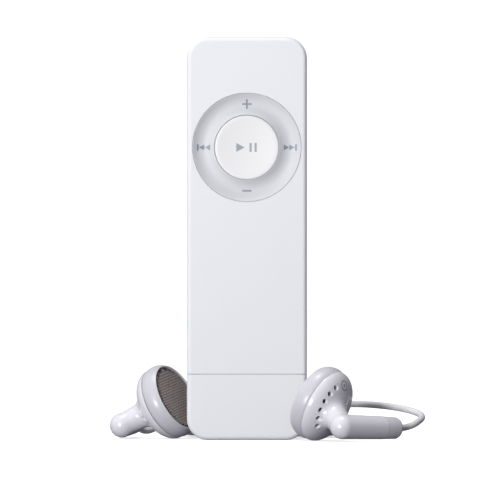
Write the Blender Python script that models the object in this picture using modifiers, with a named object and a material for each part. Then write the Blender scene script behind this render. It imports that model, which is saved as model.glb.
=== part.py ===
"""Stick-shaped digital audio player, stood on its cap end, with its pair of earphones.

Frame: metres, +Z up along the player, the front with the control pad faces -Y.
The origin is the centre of the cap's flat end, which stands on the surface.
"""

import math

import bmesh
import bpy
from mathutils import Matrix, Vector
from mathutils.geometry import interpolate_bezier

MM = 0.001

# Player: outer form and its two-part casing
WIDTH = 25.0 * MM
DEPTH = 8.4 * MM
HEIGHT = 84.0 * MM
CORNER_R = 4.4 * MM
EDGE_R = 0.9 * MM
WALL = 1.0 * MM
CAP_HEIGHT = 13.7 * MM
SEAM = 0.08 * MM
BODY_BASE = CAP_HEIGHT + SEAM
HALF_SPLIT = 0.05 * MM
GAP = 0.3 * MM
THIN_GAP = 0.1 * MM
INNER_X = WIDTH / 2 - WALL
INNER_Y = DEPTH / 2 - WALL
INNER_TOP = HEIGHT - WALL

# Control pad on the front
PAD_Z = 61.0 * MM
PAD_HINGE_Y = -2.0 * MM
OPENING_R = 11.4 * MM
RING_R = 11.25 * MM
RING_HOLE_R = 6.85 * MM
RING_VALLEY = 0.55 * MM
BUTTON_R = 6.7 * MM
BUTTON_FLANGE_R = 7.4 * MM
SWITCH_RING_R = 9.7 * MM
ROCKER_INNER_R = 7.8 * MM
ROCKER_OUTER_R = 8.6 * MM
KEYPAD_FRONT_Y = -1.35 * MM
KEYPAD_BACK_Y = -0.95 * MM
SWITCH_DOME_R = 1.45 * MM
SWITCH_DOME_H = 0.28 * MM

# Plug, board and jack inside the casing
USB_WIDTH = 12.0 * MM
USB_DEPTH = 4.5 * MM
USB_WALL = 0.3 * MM
USB_TIP_Z = 1.9 * MM
USB_TOP_Z = 20.0 * MM
USB_CONTACT_X = (-3.5 * MM, -1.0 * MM, 1.0 * MM, 3.5 * MM)
BOARD_FRONT_Y = 1.2 * MM
BOARD_BACK_Y = 2.0 * MM
JACK_Y = 1.0 * MM
JACK_BORE_R = 1.8 * MM
JACK_HOLE_R = 2.2 * MM
JACK_BASE_Z = 73.3 * MM

# Mode knob and battery button on the back
KNOB_WIDTH = 4.4 * MM
KNOB_LENGTH = 8.0 * MM
KNOB_TRAVEL = 6.0 * MM
KNOB_Z = 55.6 * MM
KNOB_RECESS = 0.6 * MM
PROUD = 0.05 * MM
BATTERY_BUTTON_R = 2.4 * MM
BATTERY_BUTTON_Z = 45.0 * MM
LED_R = 0.7 * MM
LED_Z = 40.5 * MM

# Earbud, in its own frame: origin at the middle of the seam, +Z to the dome's apex
BUD_SEAM_R = 7.8 * MM
BUD_DOME_H = 4.2 * MM
BUD_WALL = 1.0 * MM
BUMPER_R = 8.0 * MM
BUMPER_RIM_R = 7.3 * MM
BUMPER_BORE_R = 6.95 * MM
BUMPER_DEPTH = 3.5 * MM
VENT_CIRCLE_R = 6.3 * MM
VENT_CIRCLE_SHRINK = 0.08 * MM
VENT_R = 0.55 * MM
VENT_COUNT = 6
VENT_FIRST_ANGLE = math.radians(114.0)
VENT_STEP = math.radians(18.6)
NECK_ROOT = Vector((-1.0, 0.0, 2.4)) * MM
NECK_ROOT_R = 2.9 * MM
NECK_END_R = 2.3 * MM
ELBOW = Vector((-5.5, 0.0, 8.4)) * MM
ELBOW_R = 2.66 * MM
STEM_TILT = math.radians(18.0)
STEM_LENGTH = 10.9 * MM
STEM_ROOT_R = 2.62 * MM
STEM_END_R = 2.38 * MM
COLLAR_LENGTH = 4.2 * MM

# Where the two earbuds lie: seam centre, direction of the dome, direction of the stem
BUD_PLACES = {
    "right": ((16.15, -9.9, 7.29), (0.782, -0.452, -0.43), (0.765, 0.643, -0.04)),
    "left": ((-17.3, 8.6, 7.3), (-0.78, 0.45, -0.43), (0.426, 0.891, 0.16)),
}

# Cords, in millimetres where they are points of a route
BRANCH_R = 0.7 * MM
MAIN_R = 1.0 * MM
COIL_CENTRE = (3.5 * MM, 24.5 * MM)
COIL_INNER_R = 7.1 * MM
COIL_OUTER_R = 17.9 * MM
COIL_BASE_Z = 0.45 * MM
COIL_TOP_Z = 5.85 * MM
PAIR_Y = 45.4 * MM
PAIR_Z = 1.5 * MM
SLIDER_LENGTH = 4.0 * MM
SLIDER_X = -1.0 * MM
SPLITTER_START_X = 7.6 * MM
SPLITTER_LENGTH = 8.0 * MM
CLIP_WIDTH = 4.9 * MM
CLIP_HEIGHT = 2.8 * MM
TIE_ANGLE = math.radians(-130.0)
TIE_WIDTH = 2.2 * MM
TIE_THICKNESS = 0.3 * MM
TIE_SLACK = 0.14 * MM
RIGHT_BRANCH_ROUTE = (
    (31.46, -8.15, 2.59),
    (33.1, -6.7, 2.75),
    (34.6, -5.1, 3.2),
    (35.8, -2.7, 3.9),
    (36.6, 0.4, 4.6),
    (36.1, 3.3, 5.3),
    (34.1, 5.7, 6.0),
    (31.0, 7.5, 6.6),
    (27.4, 8.9, 7.0),
    (23.7, 10.1, 7.2),
    (19.9, 11.2, 7.15),
    (16.2, 12.2, 7.0),
    (12.6, 13.1, 6.95),
    (9.3, 13.9, 6.9),
    (6.6, 14.8, 6.87),
)
LEFT_BRANCH_ROUTE = (
    (-23.7, 22.8, 3.1),
    (-23.3, 25.2, 3.05),
    (-23.0, 27.5, 2.5),
    (-22.7, 29.6, 1.6),
    (-21.9, 31.6, 1.1),
    (-20.2, 33.6, 1.3),
    (-17.4, 35.4, 3.0),
    (-13.8, 36.7, 5.1),
    (-9.9, 37.3, 6.5),
    (-6.2, 37.5, 6.95),
    (-2.9, 37.45, 6.9),
    (-1.4, 37.3, 6.87),
)
RIGHT_PAIR_ROUTE = (
    (-12.5, 34.6, 3.5),
    (-12.0, 37.3, 2.5),
    (-10.7, 40.2, 1.6),
    (-8.4, 42.7, 1.1),
    (-5.5, 44.2, 1.3),
    (-3.4, 44.675, 1.5),
    (0.0, 44.675, 1.5),
    (3.6, 44.675, 1.5),
    (7.3, 44.675, 1.5),
)
LEFT_PAIR_ROUTE = (
    (-13.95, 34.8, 3.5),
    (-13.45, 37.8, 2.5),
    (-11.95, 41.0, 1.6),
    (-9.3, 43.9, 1.1),
    (-6.0, 45.6, 1.3),
    (-3.4, 46.125, 1.5),
    (0.0, 46.125, 1.5),
    (3.6, 46.125, 1.5),
    (7.3, 46.125, 1.5),
)
MAIN_START_ROUTE = (
    (15.9, 45.4, 1.5),
    (18.8, 44.4, 1.3),
    (21.3, 42.1, 1.1),
    (22.9, 39.0, 1.05),
    (23.5, 35.4, 1.05),
    (23.5, 31.7, 1.05),
    (22.9, 28.0, 1.05),
)
MAIN_END_ROUTE = (
    (12.55, 41.55, 4.2),
    (16.7, 38.6, 5.3),
    (19.8, 34.7, 6.8),
    (21.1, 31.0, 8.1),
    (21.1, 28.4, 8.8),
    (20.5, 26.1, 9.15),
    (19.1, 24.8, 9.2),
    (17.75, 24.5, 9.14),
)

# Stereo plug, lying on the coil with its pin towards -X
PLUG_TIP = Vector((-15.0, 24.5, 7.62)) * MM
PLUG_TILT = math.radians(2.65)
PIN_LENGTH = 14.0 * MM
PLUG_BODY_LENGTH = 13.0 * MM
PLUG_BODY_R = 2.7 * MM
RELIEF_LENGTH = 5.0 * MM

FRONT = Matrix.Rotation(math.radians(90), 4, "X")
REAR = Matrix.Rotation(math.radians(-90), 4, "X")

# Finish name: base colour, roughness, metallic
FINISHES = {
    "white_gloss": ((0.86, 0.87, 0.89), 0.28, 0.0),
    "ring_grey": ((0.62, 0.64, 0.67), 0.35, 0.0),
    "bud_white": ((0.74, 0.73, 0.79), 0.30, 0.0),
    "bumper_white": ((0.66, 0.65, 0.71), 0.45, 0.0),
    "grille_brown": ((0.17, 0.15, 0.14), 0.60, 0.4),
    "cord_white": ((0.80, 0.81, 0.80), 0.40, 0.0),
    "steel": ((0.62, 0.62, 0.62), 0.30, 1.0),
    "gold": ((0.83, 0.62, 0.28), 0.30, 1.0),
    "board_green": ((0.03, 0.17, 0.08), 0.50, 0.0),
    "chip_black": ((0.02, 0.02, 0.02), 0.45, 0.0),
    "battery_foil": ((0.55, 0.56, 0.58), 0.35, 0.8),
    "frame_grey": ((0.35, 0.36, 0.38), 0.50, 0.0),
    "lead_red": ((0.50, 0.04, 0.03), 0.45, 0.0),
    "clear_lens": ((0.75, 0.80, 0.72), 0.15, 0.0),
    "amber_film": ((0.60, 0.50, 0.32), 0.40, 0.0),
}


def clear_scene():
    for obj in list(bpy.data.objects):
        bpy.data.objects.remove(obj, do_unlink=True)


def collection(name):
    made = bpy.data.collections.new(name)
    bpy.context.scene.collection.children.link(made)
    return made


def mm(*values):
    return tuple(value * MM for value in values)


def finish(name, kind):
    """Gives a sub-part its own Principled material."""
    colour, roughness, metallic = FINISHES[kind]
    made = bpy.data.materials.new(name)
    made.use_nodes = True
    shader = made.node_tree.nodes["Principled BSDF"]
    shader.inputs["Base Color"].default_value = (*colour, 1.0)
    shader.inputs["Roughness"].default_value = roughness
    shader.inputs["Metallic"].default_value = metallic
    made.diffuse_color = (*colour, 1.0)
    return made


def part(name, mesh, kind, matrix=None):
    obj = bpy.data.objects.new(name, mesh)
    obj.matrix_world = matrix or Matrix.Identity(4)
    PARTS.objects.link(obj)
    mesh.materials.clear()
    mesh.materials.append(finish(name, kind))
    return obj


def cutter(name, mesh, matrix=None):
    obj = bpy.data.objects.new(name, mesh)
    obj.matrix_world = matrix or Matrix.Identity(4)
    obj.hide_render = True
    obj.display_type = "WIRE"
    CUTTERS.objects.link(obj)
    return obj


def boolean(obj, operation, other):
    modifier = obj.modifiers.new(other.name, "BOOLEAN")
    modifier.operation = operation
    modifier.solver = "EXACT"
    modifier.object = other


def bevel(obj, width, segments=2, angle=40.0):
    modifier = obj.modifiers.new("edges", "BEVEL")
    modifier.width = width
    modifier.segments = segments
    modifier.limit_method = "ANGLE"
    modifier.angle_limit = math.radians(angle)
    modifier.harden_normals = False


def box_mesh(name, low, high, origin=(0.0, 0.0, 0.0)):
    """A box between two corners, with its mesh counted from the origin."""
    size = [b - a for a, b in zip(low, high)]
    middle = [(a + b) / 2 - o for a, b, o in zip(low, high, origin)]
    shape = bmesh.new()
    bmesh.ops.create_cube(shape, size=1.0)
    bmesh.ops.scale(shape, vec=size, verts=shape.verts)
    bmesh.ops.translate(shape, vec=middle, verts=shape.verts)
    return mesh_from(name, shape)


def cone_mesh(name, base_r, top_r, depth, segments=32):
    """A cylinder or cone along Z that starts at z = 0."""
    shape = bmesh.new()
    bmesh.ops.create_cone(
        shape, cap_ends=True, segments=segments, radius1=base_r, radius2=top_r, depth=depth
    )
    bmesh.ops.translate(shape, vec=(0, 0, depth / 2), verts=shape.verts)
    return mesh_from(name, shape)


def ball_mesh(name, radius, segments=24):
    shape = bmesh.new()
    bmesh.ops.create_uvsphere(shape, u_segments=segments, v_segments=segments // 2, radius=radius)
    return mesh_from(name, shape)


def mesh_from(name, shape):
    mesh = bpy.data.meshes.new(name)
    shape.to_mesh(mesh)
    shape.free()
    return mesh


def evaluated_mesh(obj, weld=0.0):
    """The mesh that an object's curve or modifiers give."""
    depsgraph = bpy.context.evaluated_depsgraph_get()
    mesh = bpy.data.meshes.new_from_object(obj.evaluated_get(depsgraph))
    if weld:
        shape = bmesh.new()
        shape.from_mesh(mesh)
        bmesh.ops.remove_doubles(shape, verts=shape.verts, dist=weld)
        shape.to_mesh(mesh)
        shape.free()
    return mesh


def plate_mesh(name, outline, thickness):
    """A flat outline in the local XY plane, extruded evenly to both sides."""
    curve = bpy.data.curves.new(name, "CURVE")
    curve.dimensions = "2D"
    curve.fill_mode = "BOTH"
    curve.extrude = thickness / 2
    spline = curve.splines.new("POLY")
    spline.points.add(len(outline) - 1)
    for point, (x, y) in zip(spline.points, outline):
        point.co = (x, y, 0.0, 1.0)
    spline.use_cyclic_u = True
    outline_object = bpy.data.objects.new(name, curve)
    CUTTERS.objects.link(outline_object)
    mesh = evaluated_mesh(outline_object, weld=0.000001)
    bpy.data.objects.remove(outline_object)
    mesh.name = name
    return mesh


def rounded_rectangle(width, height, radius, steps=6):
    """The outline of a rectangle with round corners, centred on the origin."""
    points = []
    for quarter, (side_x, side_y) in enumerate(((1, 1), (-1, 1), (-1, -1), (1, -1))):
        for step in range(steps + 1):
            angle = math.radians(90.0 * (quarter + step / steps))
            x = side_x * (width / 2 - radius) + radius * math.cos(angle)
            y = side_y * (height / 2 - radius) + radius * math.sin(angle)
            points.append((x, y))
    return points


def turned_mesh(name, profile, steps=48, closed=False):
    """A profile of radius and height pairs, from top to bottom, turned about Z."""
    mesh = bpy.data.meshes.new(name)
    edges = [(i, i + 1) for i in range(len(profile) - 1)]
    if closed:
        edges.append((len(profile) - 1, 0))
    mesh.from_pydata([(radius, 0.0, height) for radius, height in profile], edges, [])
    lathe = bpy.data.objects.new(name, mesh)
    CUTTERS.objects.link(lathe)
    screw = lathe.modifiers.new("turn", "SCREW")
    screw.axis = "Z"
    screw.steps = steps
    screw.render_steps = steps
    screw.use_merge_vertices = True
    screw.merge_threshold = 0.000001
    screw.use_smooth_shade = True
    made = evaluated_mesh(lathe)
    bpy.data.objects.remove(lathe)
    made.name = name
    made.set_sharp_from_angle(angle=math.radians(35))
    return made


def smooth_route(points, spacing):
    """Evenly spaced points on a smooth curve through the route's own points."""
    route = [Vector(point) * MM for point in points]
    ahead = route[1:] + [2 * route[-1] - route[-2]]
    behind = [2 * route[0] - route[1]] + route[:-1]
    slopes = [(b - a) / 6 for a, b in zip(behind, ahead)]
    fine = [route[0]]
    for i in range(len(route) - 1):
        handles = (route[i], route[i] + slopes[i], route[i + 1] - slopes[i + 1], route[i + 1])
        fine += interpolate_bezier(*handles, 24)[1:]
    along = [0.0]
    for a, b in zip(fine, fine[1:]):
        along.append(along[-1] + (b - a).length)
    count = max(2, round(along[-1] / spacing))
    spaced = []
    k = 0
    for step in range(count + 1):
        target = along[-1] * step / count
        while k < len(along) - 2 and along[k + 1] < target:
            k += 1
        share = (target - along[k]) / (along[k + 1] - along[k])
        spaced.append(fine[k].lerp(fine[k + 1], min(share, 1.0)))
    return spaced


def tube(name, points, radius, kind):
    """A cord, wire or lead along a list of points."""
    curve = bpy.data.curves.new(name, "CURVE")
    curve.dimensions = "3D"
    curve.bevel_depth = radius
    curve.bevel_resolution = 2
    curve.use_fill_caps = True
    spline = curve.splines.new("POLY")
    spline.points.add(len(points) - 1)
    for point, place in zip(spline.points, points):
        point.co = (*place, 1.0)
    obj = bpy.data.objects.new(name, curve)
    PARTS.objects.link(obj)
    curve.materials.append(finish(name, kind))
    return obj


def at(x, y, z):
    return Matrix.Translation((x, y, z))


def player_cutters():
    """The shapes that the casing, cap and back are cut with."""
    outline = rounded_rectangle(WIDTH, HEIGHT, CORNER_R, 8)
    form = cutter("player_form", plate_mesh("player_form", outline, DEPTH), at(0, 0, HEIGHT / 2) @ FRONT)
    bevel(form, EDGE_R, 3)
    cavity_base = CAP_HEIGHT - 4 * MM
    cavity_height = INNER_TOP - cavity_base
    inner = rounded_rectangle(2 * INNER_X, cavity_height, CORNER_R - WALL, 6)
    cavity = plate_mesh("casing_cavity", inner, 2 * INNER_Y)
    cutter("casing_cavity", cavity, at(0, 0, cavity_base + cavity_height / 2) @ FRONT)
    opening = cone_mesh("pad_opening", OPENING_R, OPENING_R, DEPTH, 56)
    cutter("pad_opening", opening, at(0, PAD_HINGE_Y, PAD_Z) @ FRONT)
    hole = cone_mesh("jack_hole", JACK_HOLE_R, JACK_HOLE_R, 4 * WALL, 32)
    cutter("jack_hole", hole, at(0, JACK_Y, HEIGHT - 2 * WALL))
    return form


def casing(name, low_y, high_y, extra_cutters):
    """One half of the casing, cut out of the player's outer form."""
    low = (-WIDTH, low_y, BODY_BASE)
    high = (WIDTH, high_y, HEIGHT + WALL)
    obj = part(name, box_mesh(name, low, high), "white_gloss")
    boolean(obj, "INTERSECT", bpy.data.objects["player_form"])
    for cutter_name in ("casing_cavity", "jack_hole", *extra_cutters):
        boolean(obj, "DIFFERENCE", bpy.data.objects[cutter_name])
    return obj


def rear_cutters():
    """The mode knob's recess and slot, the battery button's hole and the lamp's hole."""
    middle = KNOB_Z + KNOB_TRAVEL / 2
    width = KNOB_WIDTH + 2 * GAP
    recess = rounded_rectangle(width, KNOB_LENGTH + KNOB_TRAVEL + 2 * GAP, width / 2, 6)
    recess_mesh = plate_mesh("knob_recess", recess, 2 * KNOB_RECESS)
    cutter("knob_recess", recess_mesh, at(0, DEPTH / 2, middle) @ REAR)
    slot = rounded_rectangle(2.2 * MM, 2.2 * MM + KNOB_TRAVEL + 0.4 * MM, 1.1 * MM, 5)
    cutter("knob_slot", plate_mesh("knob_slot", slot, 3 * WALL), at(0, DEPTH / 2, middle) @ REAR)
    for name, radius, z in (
        ("battery_button_hole", BATTERY_BUTTON_R + 0.15 * MM, BATTERY_BUTTON_Z),
        ("led_hole", LED_R + 0.1 * MM, LED_Z),
    ):
        hole = cone_mesh(name, radius, radius, 3 * WALL, 32)
        cutter(name, hole, at(0, INNER_Y - WALL, z) @ REAR)
    return ("knob_recess", "knob_slot", "battery_button_hole", "led_hole")


def usb_cap():
    """The pull-off cap that covers the plug, and the grip inside it."""
    low = (-WIDTH, -DEPTH, -WALL)
    high = (WIDTH, DEPTH, CAP_HEIGHT)
    cap = part("usb_cap", box_mesh("usb_cap", low, high), "white_gloss")
    boolean(cap, "INTERSECT", bpy.data.objects["player_form"])
    floor = 1.5 * MM
    hollow = rounded_rectangle(2 * INNER_X, 2 * INNER_Y, 1.0 * MM, 3)
    hollow_depth = CAP_HEIGHT
    hollow_mesh = plate_mesh("cap_hollow", hollow, hollow_depth)
    boolean(cap, "DIFFERENCE", cutter("cap_hollow", hollow_mesh, at(0, 0, floor + hollow_depth / 2)))
    base = floor + THIN_GAP
    top = 12.5 * MM
    gripped = rounded_rectangle(2 * (INNER_X - THIN_GAP), 2 * (INNER_Y - THIN_GAP), 0.9 * MM, 3)
    insert_mesh = plate_mesh("usb_cap_insert", gripped, top - base)
    insert = part("usb_cap_insert", insert_mesh, "bumper_white", at(0, 0, (top + base) / 2))
    hole = rounded_rectangle(USB_WIDTH + GAP, USB_DEPTH + GAP, 0.5 * MM, 3)
    hole_mesh = plate_mesh("cap_insert_hole", hole, 2 * top)
    boolean(insert, "DIFFERENCE", cutter("cap_insert_hole", hole_mesh, at(0, 0, top)))


def usb_plug():
    """The collar that closes the casing, and the plug that it holds."""
    plate_base = BODY_BASE + 0.12 * MM
    plate_top = plate_base + 2.0 * MM
    plate = rounded_rectangle(2 * (INNER_X - 0.2 * MM), 2 * (INNER_Y - 0.2 * MM), 0.8 * MM, 3)
    collar_mesh = plate_mesh("usb_collar", plate, plate_top - plate_base)
    collar = part("usb_collar", collar_mesh, "bumper_white", at(0, 0, (plate_top + plate_base) / 2))
    lip = rounded_rectangle(21.6 * MM, 5.2 * MM, 0.8 * MM, 3)
    lip_mesh = plate_mesh("collar_lip", lip, 2.0 * MM)
    boolean(collar, "UNION", cutter("collar_lip", lip_mesh, at(0, 0, 13.9 * MM)))
    hole = rounded_rectangle(USB_WIDTH + 2 * THIN_GAP, USB_DEPTH + 2 * THIN_GAP, 0.5 * MM, 3)
    hole_mesh = plate_mesh("collar_hole", hole, 10 * MM)
    boolean(collar, "DIFFERENCE", cutter("collar_hole", hole_mesh, at(0, 0, plate_base)))

    length = USB_TOP_Z - USB_TIP_Z
    outside = rounded_rectangle(USB_WIDTH, USB_DEPTH, 0.4 * MM, 3)
    shell_mesh = plate_mesh("usb_plug_shell", outside, length)
    shell = part("usb_plug_shell", shell_mesh, "steel", at(0, 0, USB_TIP_Z + length / 2))
    inside = rounded_rectangle(USB_WIDTH - 2 * USB_WALL, USB_DEPTH - 2 * USB_WALL, 0.2 * MM, 2)
    bore_mesh = plate_mesh("usb_bore", inside, 2 * length)
    boolean(shell, "DIFFERENCE", cutter("usb_bore", bore_mesh, at(0, 0, USB_TIP_Z + length / 2)))
    for side, x in (("left", -2.7 * MM), ("right", 2.7 * MM)):
        low = (x - 1.25 * MM, -USB_DEPTH, 6.1 * MM)
        high = (x + 1.25 * MM, USB_DEPTH, 8.1 * MM)
        name = f"usb_window_{side}"
        boolean(shell, "DIFFERENCE", cutter(name, box_mesh(name, low, high)))

    half_x = USB_WIDTH / 2 - USB_WALL - THIN_GAP
    half_y = USB_DEPTH / 2 - USB_WALL - THIN_GAP
    tongue_mesh = box_mesh("usb_tongue", (-half_x, 0, 2.1 * MM), (half_x, half_y, 19.9 * MM))
    tongue = part("usb_tongue", tongue_mesh, "frame_grey")
    root_mesh = box_mesh("tongue_root", (-half_x, -half_y, 14.0 * MM), (half_x, half_y, 19.9 * MM))
    boolean(tongue, "UNION", cutter("tongue_root", root_mesh))
    for number, x in enumerate(USB_CONTACT_X, start=1):
        name = f"usb_contact_{number}"
        low = (x - 0.5 * MM, -0.25 * MM, 3.2 * MM)
        high = (x + 0.5 * MM, -0.05 * MM, 11.2 * MM)
        part(name, box_mesh(name, low, high), "gold")


def ring_height(radius):
    """The ring's front surface: a shallow valley between its two rims."""
    middle = (RING_R + RING_HOLE_R) / 2
    half = (RING_R - RING_HOLE_R) / 2 - 0.15 * MM
    across = min(1.0, abs(radius - middle) / half)
    return DEPTH / 2 - 0.05 * MM - RING_VALLEY * math.cos(across * math.pi / 2) ** 2


def control_pad():
    """The ring that rocks both ways, the plate that it rocks on, and the centre button."""
    pivot = at(0, PAD_HINGE_Y, PAD_Z) @ FRONT
    hinge = -PAD_HINGE_Y
    skirt_back = 2.2 * MM - hinge
    ring_back = 2.75 * MM - hinge
    profile = [(RING_R, skirt_back), (10.2 * MM, skirt_back), (10.2 * MM, ring_back)]
    profile += [(RING_HOLE_R, ring_back)]
    steps = 6
    for step in range(steps + 1):
        radius = RING_HOLE_R + (RING_R - RING_HOLE_R) * step / steps
        profile.append((radius, ring_height(radius) - hinge))
    ring = part("control_ring", turned_mesh("control_ring", profile, 56, closed=True), "ring_grey", pivot)
    tab_z = 13.0 * MM
    low = (-4.0 * MM, -tab_z, 2.3 * MM - hinge)
    high = (4.0 * MM, tab_z, 2.85 * MM - hinge)
    tabs = cutter("ring_tabs", box_mesh("ring_tabs", low, high), pivot)
    middle_mesh = cone_mesh("ring_tabs_middle", 10.4 * MM, 10.4 * MM, 4 * MM, 48)
    boolean(tabs, "DIFFERENCE", cutter("ring_tabs_middle", middle_mesh, pivot @ at(0, 0, -2 * MM)))
    boolean(ring, "UNION", tabs)
    for name, x, z in switch_places():
        if name == "centre":
            continue
        nub = cone_mesh(f"ring_nub_{name}", 0.6 * MM, 0.75 * MM, 0.92 * MM, 16)
        place = pivot @ at(x, z, 1.98 * MM - hinge)
        boolean(ring, "UNION", cutter(f"ring_nub_{name}", nub, place))

    plate_back = 2.1 * MM - hinge
    plate_front = 2.3 * MM - hinge
    plate = [(ROCKER_OUTER_R, plate_front), (ROCKER_OUTER_R, plate_back)]
    plate += [(ROCKER_INNER_R, plate_back), (ROCKER_INNER_R, plate_front)]
    part("rocker_plate", turned_mesh("rocker_plate", plate, 48, closed=True), "steel", pivot)

    front = DEPTH / 2 - 0.1 * MM - hinge
    flange_front = 2.35 * MM - hinge
    flange_back = 1.98 * MM - hinge
    profile = [(0.0, front - 0.25 * MM), (2.2 * MM, front - 0.22 * MM), (4.4 * MM, front - 0.12 * MM)]
    profile += [(6.2 * MM, front), (6.55 * MM, front - 0.05 * MM), (BUTTON_R, front - 0.25 * MM)]
    profile += [(BUTTON_R, flange_front), (BUTTON_FLANGE_R, flange_front)]
    profile += [(BUTTON_FLANGE_R, flange_back), (0.0, flange_back)]
    part("centre_button", turned_mesh("centre_button", profile, 48), "white_gloss", pivot)


def switch_places():
    """Name and offset of each switch from the middle of the pad, across and up."""
    r = SWITCH_RING_R
    return (("centre", 0, 0), ("up", 0, r), ("down", 0, -r), ("left", -r, 0), ("right", r, 0))


def keypad():
    """The board behind the pad and its five snap domes."""
    outline = rounded_rectangle(22.4 * MM, 24.0 * MM, 4.0 * MM, 4)
    mesh = plate_mesh("keypad_board", outline, KEYPAD_BACK_Y - KEYPAD_FRONT_Y)
    middle_y = (KEYPAD_BACK_Y + KEYPAD_FRONT_Y) / 2
    part("keypad_board", mesh, "board_green", at(0, middle_y, 60.9 * MM) @ FRONT)
    dome = [(0.0, SWITCH_DOME_H), (SWITCH_DOME_R * 0.6, SWITCH_DOME_H * 0.75), (SWITCH_DOME_R, 0.05 * MM)]
    dome += [(SWITCH_DOME_R, 0.0), (0.0, 0.0)]
    for name, x, z in switch_places():
        full_name = f"dome_switch_{name}"
        mesh = turned_mesh(full_name, dome, 20)
        place = at(x, KEYPAD_FRONT_Y - 0.05 * MM, PAD_Z + z) @ FRONT
        part(full_name, mesh, "steel", place)


def electronics():
    """Main board with its chips, battery with its lead, and the frame that holds them."""
    board = part(
        "main_board",
        box_mesh("main_board", (-10.5 * MM, BOARD_FRONT_Y, 20.5 * MM), (10.5 * MM, BOARD_BACK_Y, 79.0 * MM)),
        "board_green",
    )
    low = (-3.6 * MM, 0.0, 69.0 * MM)
    high = (3.6 * MM, 4 * MM, HEIGHT)
    boolean(board, "DIFFERENCE", cutter("board_notch", box_mesh("board_notch", low, high)))
    blocks = {
        "flash_chip": (mm(-6.0, 0.1, 49.0), mm(6.0, 1.15, 67.0), "chip_black"),
        "audio_chip": (mm(-4.5, 2.05, 27.0), mm(4.5, 2.95, 36.0), "chip_black"),
        "battery_cell": (mm(-10.0, -2.9, 20.4), mm(10.0, 0.9, 47.0), "battery_foil"),
        "mode_switch_can": (mm(-3.5, 2.05, 51.0), mm(3.5, 2.85, 66.0), "steel"),
        "battery_tact": (mm(-1.6, 2.05, 43.4), mm(1.6, 2.25, 46.6), "steel"),
    }
    for name, (low, high, kind) in blocks.items():
        bevel(part(name, box_mesh(name, low, high), kind), 0.05 * MM if kind == "steel" else 0.25 * MM)
    route = ((8.0, -1.0, 47.1), (8.0, -0.9, 48.2), (8.0, -0.2, 49.0), (8.0, 0.6, 49.3), (8.0, 1.1, 49.4))
    tube("battery_lead", smooth_route(route, 0.5 * MM), 0.35 * MM, "lead_red")

    rail_x = (10.75 * MM, 11.35 * MM)
    frame = part(
        "inner_frame",
        box_mesh("inner_frame", (rail_x[0], -0.7 * MM, 17.2 * MM), (rail_x[1], 3.0 * MM, 72.5 * MM)),
        "frame_grey",
    )
    extras = {
        "frame_left_rail": (-rail_x[1], -0.7 * MM, 17.2 * MM, -rail_x[0], 3.0 * MM, 72.5 * MM),
        "frame_low_bar": (-11.0 * MM, 2.4 * MM, 17.2 * MM, 11.0 * MM, 3.0 * MM, 18.6 * MM),
        "frame_high_bar": (-11.0 * MM, 2.4 * MM, 68.5 * MM, 11.0 * MM, 3.0 * MM, 70.0 * MM),
    }
    for name, corners in extras.items():
        boolean(frame, "UNION", cutter(name, box_mesh(name, corners[:3], corners[3:])))


def headphone_jack():
    """Housing with its bore, contact spring, and the ring that lines the hole on top."""
    top = INNER_TOP - 0.15 * MM
    low = (-3.25 * MM, -1.1 * MM, JACK_BASE_Z)
    high = (3.25 * MM, 3.1 * MM, top)
    housing = part("jack_housing", box_mesh("jack_housing", low, high), "chip_black")
    bore_mesh = cone_mesh("jack_bore", JACK_BORE_R, JACK_BORE_R, HEIGHT / 4, 32)
    boolean(housing, "DIFFERENCE", cutter("jack_bore", bore_mesh, at(0, JACK_Y, JACK_BASE_Z - 5 * MM)))
    low = (3.35 * MM, 0.4 * MM, 74.5 * MM)
    high = (3.55 * MM, 1.6 * MM, 82.0 * MM)
    part("jack_spring", box_mesh("jack_spring", low, high), "steel")
    bezel_top = HEIGHT - 0.15 * MM
    bezel_base = INNER_TOP - 0.05 * MM
    outer = JACK_HOLE_R - 0.1 * MM
    profile = [(outer, bezel_top), (outer, bezel_base), (JACK_BORE_R, bezel_base)]
    profile += [(JACK_BORE_R, bezel_top - 0.1 * MM), (JACK_BORE_R + 0.1 * MM, bezel_top)]
    bezel_mesh = turned_mesh("jack_bezel", profile, 32, closed=True)
    part("jack_bezel", bezel_mesh, "steel", at(0, JACK_Y, 0))


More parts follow.
